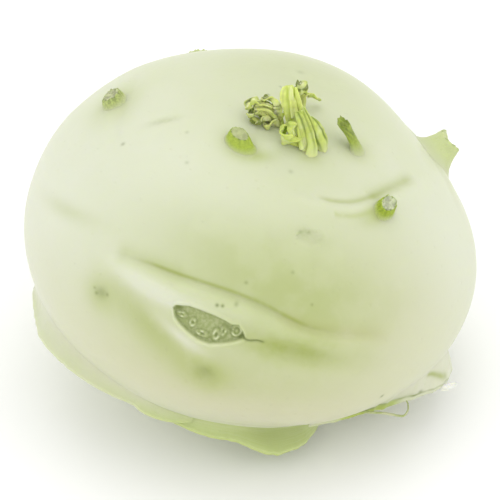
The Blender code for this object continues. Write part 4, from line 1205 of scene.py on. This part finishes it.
def model_heart():
    """The young leaves on the crown, cut short by the grower."""
    dress_all("heart_stalk", HEART_PALE, [
        model_shoot(
            "heart_folded_stalk",
            [(2.2, -4.2, 38.2, 2.6, 2.2), (1.9, -4.4, 40.6, 2.0, 1.7), (0.7, -4.4, 43.4, 2.2, 1.5),
             (-0.6, -3.5, 46.2, 1.9, 1.2), (-1.3, -2.5, 48.2, 1.3, 0.8), (-1.5, -2.2, 48.8, 1.0, 0.5)],
            STALK_WAY, furrows=5, depth=0.15, dark=0.6, around=40, along=44, seated=True),
    ] + [
        model_shoot("stalk_rib_" + side, keys, STALK_WAY, dark=dark, around=12)
        for side, dark, keys in [
            ("left", 0.2, [(-0.1, -5.0, 42.6, 0.5, 0.5), (-1.7, -4.6, 44.6, 0.7, 0.5),
                           (-2.6, -3.6, 46.8, 0.7, 0.5), (-2.6, -2.7, 48.5, 0.3, 0.3)]),
            ("middle", 0.2, [(1.0, -5.9, 42.4, 0.5, 0.5), (0.2, -5.2, 44.8, 0.6, 0.5),
                             (-0.6, -4.1, 47.4, 0.6, 0.4), (-1.1, -3.0, 49.4, 0.25, 0.2)]),
            ("right", 0.3, [(3.0, -5.0, 41.2, 0.5, 0.5), (2.4, -4.5, 44.2, 0.6, 0.5),
                            (1.0, -3.5, 47.0, 0.6, 0.4), (0.2, -2.5, 48.9, 0.25, 0.2)]),
        ]
    ])
    dress_all("heart_leaf_left", HEART_LEAF, [
        model_shoot(
            "crumpled_leaf_foot",
            [(-2.4, -3.8, 38.0, 2.2, 1.9), (-2.8, -3.8, 40.0, 1.7, 1.5), (-3.4, -3.6, 42.0, 1.1, 1.0)],
            (1, 0, 0), seated=True),
        model_shoot(
            "crumpled_leaf_core",
            [(-2.6, -3.2, 38.4, 1.6, 1.5), (-4.4, -3.6, 40.8, 2.5, 1.8), (-6.4, -3.7, 42.0, 2.5, 1.7),
             (-8.4, -3.9, 41.9, 1.6, 1.1)], (0.4, -0.8, 0.5), furrows=7, depth=0.24, dark=0.5),
    ] + [
        model_blade("crumpled_leaf_" + letter, keys, side_way, **shape)
        for letter, side_way, shape, keys in [
            ("a", (0.4, -0.8, 0.5), {"waves": 3.0, "lobes": 4, "dark_from": 0.45, "dark": 1.0},
             [(-2.2, -2.3, 38.3, 1.2), (-5.2, -3.7, 41.7, 2.1), (-7.6, -3.7, 43.4, 2.5),
              (-9.4, -3.8, 42.7, 2.0), (-9.7, -4.3, 41.3, 1.0)]),
            ("b", (0.4, -0.7, 0.6), {"lobes": 4, "dark_from": 0.5, "dark": 0.9},
             [(-2.4, -3.1, 38.3, 1.1), (-5.5, -4.3, 40.6, 1.9), (-7.8, -4.9, 40.9, 2.1),
              (-9.3, -5.0, 39.9, 1.0)]),
            ("c", (0.7, -0.5, 0.5), {"dark_from": 0.55},
             [(-2.7, -3.5, 38.1, 1.1), (-4.8, -4.9, 39.6, 1.8), (-6.8, -5.9, 39.9, 2.0),
              (-7.2, -6.5, 38.9, 1.0)]),
            ("d", (0.3, -0.8, 0.6), {"dark_from": 0.6},
             [(-2.0, -2.9, 39.5, 1.1), (-4.0, -3.6, 43.1, 1.8), (-5.6, -3.4, 44.5, 1.8),
              (-7.0, -3.2, 44.1, 0.9)]),
            ("e", (1, -0.3, 0.2), {"dark_from": 0.75, "dark": 0.6},
             [(-1.8, -3.5, 38.5, 1.1), (-2.9, -4.5, 41.5, 1.9), (-3.9, -4.9, 43.7, 1.5)]),
            ("f", (0.8, -0.2, 0.7), {"dark_from": 0.8, "dark": 0.3},
             [(-1.7, -3.9, 38.1, 1.1), (-3.4, -5.9, 39.3, 1.9), (-4.9, -7.1, 38.7, 1.0)]),
        ]
    ])
    dress_all("heart_leaf_back", HEART_LEAF, [
        model_shoot(
            "back_leaf_foot",
            [(3.6, 5.0, 38.0, 1.6, 1.4), (3.5, 5.1, 40.2, 1.2, 1.0), (3.3, 5.0, 42.2, 0.8, 0.7)],
            (1, 0, 0), seated=True),
        model_blade(
            "back_leaf",
            [(3.4, 5.0, 40.0, 0.8), (3.2, 4.8, 42.2, 1.6), (2.7, 4.4, 44.4, 1.8), (1.9, 4.0, 46.0, 0.9)],
            (1, 0.2, 0), waves=1.5, wave=0.5, curl=0.8, crumple=0.7, dark_from=0.15),
        model_blade(
            "back_leaf_tail",
            [(3.6, 5.2, 40.2, 0.8), (4.9, 5.3, 42.0, 1.1), (6.6, 6.1, 41.2, 1.0), (8.6, 7.8, 39.2, 0.4)],
            (0.3, -0.5, 0.8), waves=1.5, wave=0.3, curl=0.3, lobes=2, crumple=0.5,
            dark_from=0.5, dark=0.3),
    ])
    dress_all("heart_shoots", HEART_SHOOT, [
        model_shoot(
            "shoot_a",
            [(5.5, -11.2, 37.8, 1.6, 1.4), (4.3, -10.0, 40.6, 1.2, 1.1), (2.2, -9.1, 44.4, 1.1, 0.9),
             (1.1, -8.3, 46.0, 0.5, 0.4)], SHOOT_WAY, depth=0.18, dark=0.8, seated=True),
        model_shoot(
            "shoot_b",
            [(6.6, -12.6, 37.5, 1.9, 1.6), (6.2, -11.5, 39.6, 1.2, 1.0), (5.0, -10.0, 42.0, 1.0, 0.8),
             (3.6, -8.6, 44.2, 0.9, 0.6), (2.4, -7.2, 46.0, 0.4, 0.3)],
            SHOOT_WAY, dark=0.55, seated=True),
        model_shoot(
            "shoot_c",
            [(10.2, -9.6, 37.6, 1.4, 1.2), (8.0, -9.2, 40.4, 1.8, 1.1), (6.4, -8.2, 42.8, 1.4, 0.8),
             (4.7, -6.9, 44.2, 0.6, 0.4)], (1, 0.6, 0), furrows=4, dark=0.9, seated=True),
        model_shoot(
            "shoot_d",
            [(7.0, -10.4, 38.6, 0.9, 0.8), (6.2, -9.4, 41.4, 0.7, 0.7), (4.4, -7.9, 44.2, 0.7, 0.5),
             (2.6, -6.4, 46.3, 0.3, 0.2)], SHOOT_WAY, dark=0.7),
        model_shoot(
            "shoot_e",
            [(4.2, -11.8, 38.4, 0.9, 0.8), (3.4, -11.4, 40.2, 0.7, 0.6), (2.6, -10.6, 42.0, 0.6, 0.5),
             (1.9, -9.8, 43.6, 0.3, 0.2)], SHOOT_WAY, dark=0.3),
        model_blade(
            "curled_leaf",
            [(3.4, -10.6, 38.8, 1.3), (0.4, -12.1, 40.0, 2.3), (-1.5, -11.5, 41.6, 2.4),
             (-0.9, -10.3, 43.2, 1.3)], (0.5, 0.3, -0.8), waves=2.5, curl=-0.7, lobes=4,
            notch=0.35, dark_from=0.7, dark=0.3),
        model_blade(
            "curled_leaf_inner",
            [(3.6, -10.4, 39.2, 1.0), (1.6, -11.2, 40.8, 1.7), (0.8, -10.5, 42.6, 1.7),
             (1.3, -9.6, 43.8, 1.0)], (0.6, 0.3, -0.7), wave=0.4, curl=0.7,
            notch=0.25, crumple=0.8, dark_from=0.6, dark=0.6),
    ])


# ---------------------------------------------------------------- torn bits of the right leaf base

FIBRE_KEYS = [
    (32.9, -34.0, -18.8, 0.30, 0.30), (34.9, -34.0, -18.6, 0.30, 0.30), (37.2, -33.8, -18.4, 0.28, 0.28),
    (39.3, -33.9, -18.2, 0.28, 0.28), (40.9, -34.2, -18.0, 0.26, 0.26), (42.3, -34.3, -17.6, 0.24, 0.24),
    (43.2, -32.5, -17.2, 0.22, 0.22), (43.2, -30.5, -16.9, 0.20, 0.20), (42.8, -29.5, -16.8, 0.18, 0.18),
]
SHRED_KEYS = [
    (49.4, -22.8, -15.2, 0.6), (51.8, -23.5, -15.2, 0.9), (53.4, -23.3, -14.6, 0.8),
    (54.7, -22.6, -13.8, 0.35),
]


def model_fibre():
    fibre = model_shoot("torn_fibre", FIBRE_KEYS, (0, 0, 1), furrows=2, around=10, along=60)
    dress(fibre, "fibre", fibre_material())


def model_shred():
    """A torn strip of pale skin at the leaf base's corner."""
    shred = model_blade("torn_shred", SHRED_KEYS, (0.0, 0.6, 0.8), waves=1.5, wave=0.2, curl=0.2, lobes=2,
                        crumple=0.3, dark=0.0, thickness=0.3)
    dress(shred, "leaf_base_right",
          leaf_material("torn skin", (0.84, 0.84, 0.80), (0.4, 0.4, 0.3), (0.86, 0.86, 0.83)))


# ---------------------------------------------------------------- the setting

def stand_camera():
    rise = radians(CAMERA_RISE)
    toward_camera = Vector((0, -cos(rise), sin(rise)))
    screen_up = Vector((0, sin(rise), cos(rise)))
    aim = Vector((CAMERA_AIM[0], 0, CENTRE_HEIGHT)) * MM + screen_up * CAMERA_AIM[1] * MM
    deselect_all()
    bpy.ops.object.camera_add(location=aim + toward_camera * CAMERA_DISTANCE, rotation=(pi / 2 - rise, 0, 0))
    camera = bpy.context.object
    camera.data.lens = CAMERA_LENS
    camera.data.clip_end = 20
    bpy.context.scene.camera = camera


# name, direction from the bulb, distance and width in metres, power in watts
SOFTBOXES = [
    ("sky_box", (0.0, 0.3, 1.0), 0.9, 0.9, 1.9),
    ("left_box", (-1.0, -0.5, 0.5), 1.0, 0.7, 1.0),
    ("right_box", (1.0, -0.4, 0.5), 1.0, 0.7, 1.0),
    ("low_front_box", (0.0, -1.0, 0.12), 1.0, 0.8, 1.1),
]
WORLD_STRENGTH = 1.03


def add_softbox(name, direction, distance, size, power):
    """A square soft white light that faces the bulb."""
    middle = Vector((0, 0, CENTRE_HEIGHT * MM))
    place = Vector(direction).normalized() * distance + middle
    turn = (middle - place).to_track_quat("-Z", "Y").to_euler()
    bpy.ops.object.light_add(type="AREA", location=place, rotation=turn)
    light = bpy.context.object
    light.name = name
    light.data.size = size
    light.data.energy = power


def set_stage():
    deselect_all()
    bpy.ops.mesh.primitive_grid_add(x_subdivisions=8, y_subdivisions=8, size=6.0)
    floor = name_piece("studio_floor")
    floor.data.materials.append(floor_material())
    for softbox in SOFTBOXES:
        add_softbox(*softbox)
    scene = bpy.context.scene
    scene.world = bpy.data.worlds.new("white studio")
    scene.world.use_nodes = True
    sky = Nodes(scene.world.node_tree)
    sky.fill(sky.tree.nodes["Background"], Color=(1.0, 1.0, 1.0), Strength=WORLD_STRENGTH)
    scene.view_settings.view_transform = "Standard"
    scene.view_settings.look = "None"


stand_camera()
LEAF_BASE = leaf_base_material()
HEART_PALE = leaf_material("heart stalk", (0.68, 0.76, 0.22), (0.36, 0.47, 0.02), (0.76, 0.80, 0.46))
HEART_LEAF = leaf_material("heart leaf", (0.60, 0.66, 0.20), (0.09, 0.11, 0.01), (0.78, 0.80, 0.56))
HEART_SHOOT = leaf_material("heart shoots", (0.54, 0.63, 0.14), (0.11, 0.17, 0.01), (0.68, 0.73, 0.40))
model_bulb()
model_leaf_base("left_leaf_base", "leaf_base_left", LEFT_BASE, 0.25, 0.7,
                flesh=[(0.0, 0.1), (0.5, 0.15), (0.75, 0.4), (0.85, 0.8), (1.0, 0.95)],
                face_vivid=[(0.0, -0.15), (0.6, -0.1), (1.0, 0.2)])
model_leaf_base("front_leaf_base", "leaf_base_front", FRONT_BASE, 0.4, 1.0,
                flesh=[(0.0, 1.0)], face_vivid=[(0.0, 0.2), (0.5, 0.3), (1.0, 0.2)])
model_leaf_base("right_leaf_base", "leaf_base_right", RIGHT_BASE, 0.4, 0.0,
                flesh=[(0.0, 0.0)],
                face_vivid=[(0.10, 0.0), (0.17, 1.0), (0.36, 0.8), (0.41, -0.1), (1.0, -0.15)],
                ridge_dark=[(0.10, 0.0), (0.16, 1.0), (0.5, 0.9), (0.58, 0.8), (0.64, 0.2), (1.0, 0.0)],
                lip_dark=[(0.10, 0.0), (0.17, 0.3), (0.46, 0.2), (0.50, 0.0)])
model_leaf_base("back_leaf_base", "leaf_base_back", BACK_BASE, 0.6, 0.5,
                flesh=[(0.0, 0.1)], face_vivid=[(0.0, 0.3), (0.5, 0.8), (1.0, 0.3)],
                ridge_dark=[(0.0, 0.1), (0.5, 0.4), (1.0, 0.1)])
model_shred()
for stub in STUBS:
    model_stub(*stub)
model_heart()
model_fibre()
set_stage()
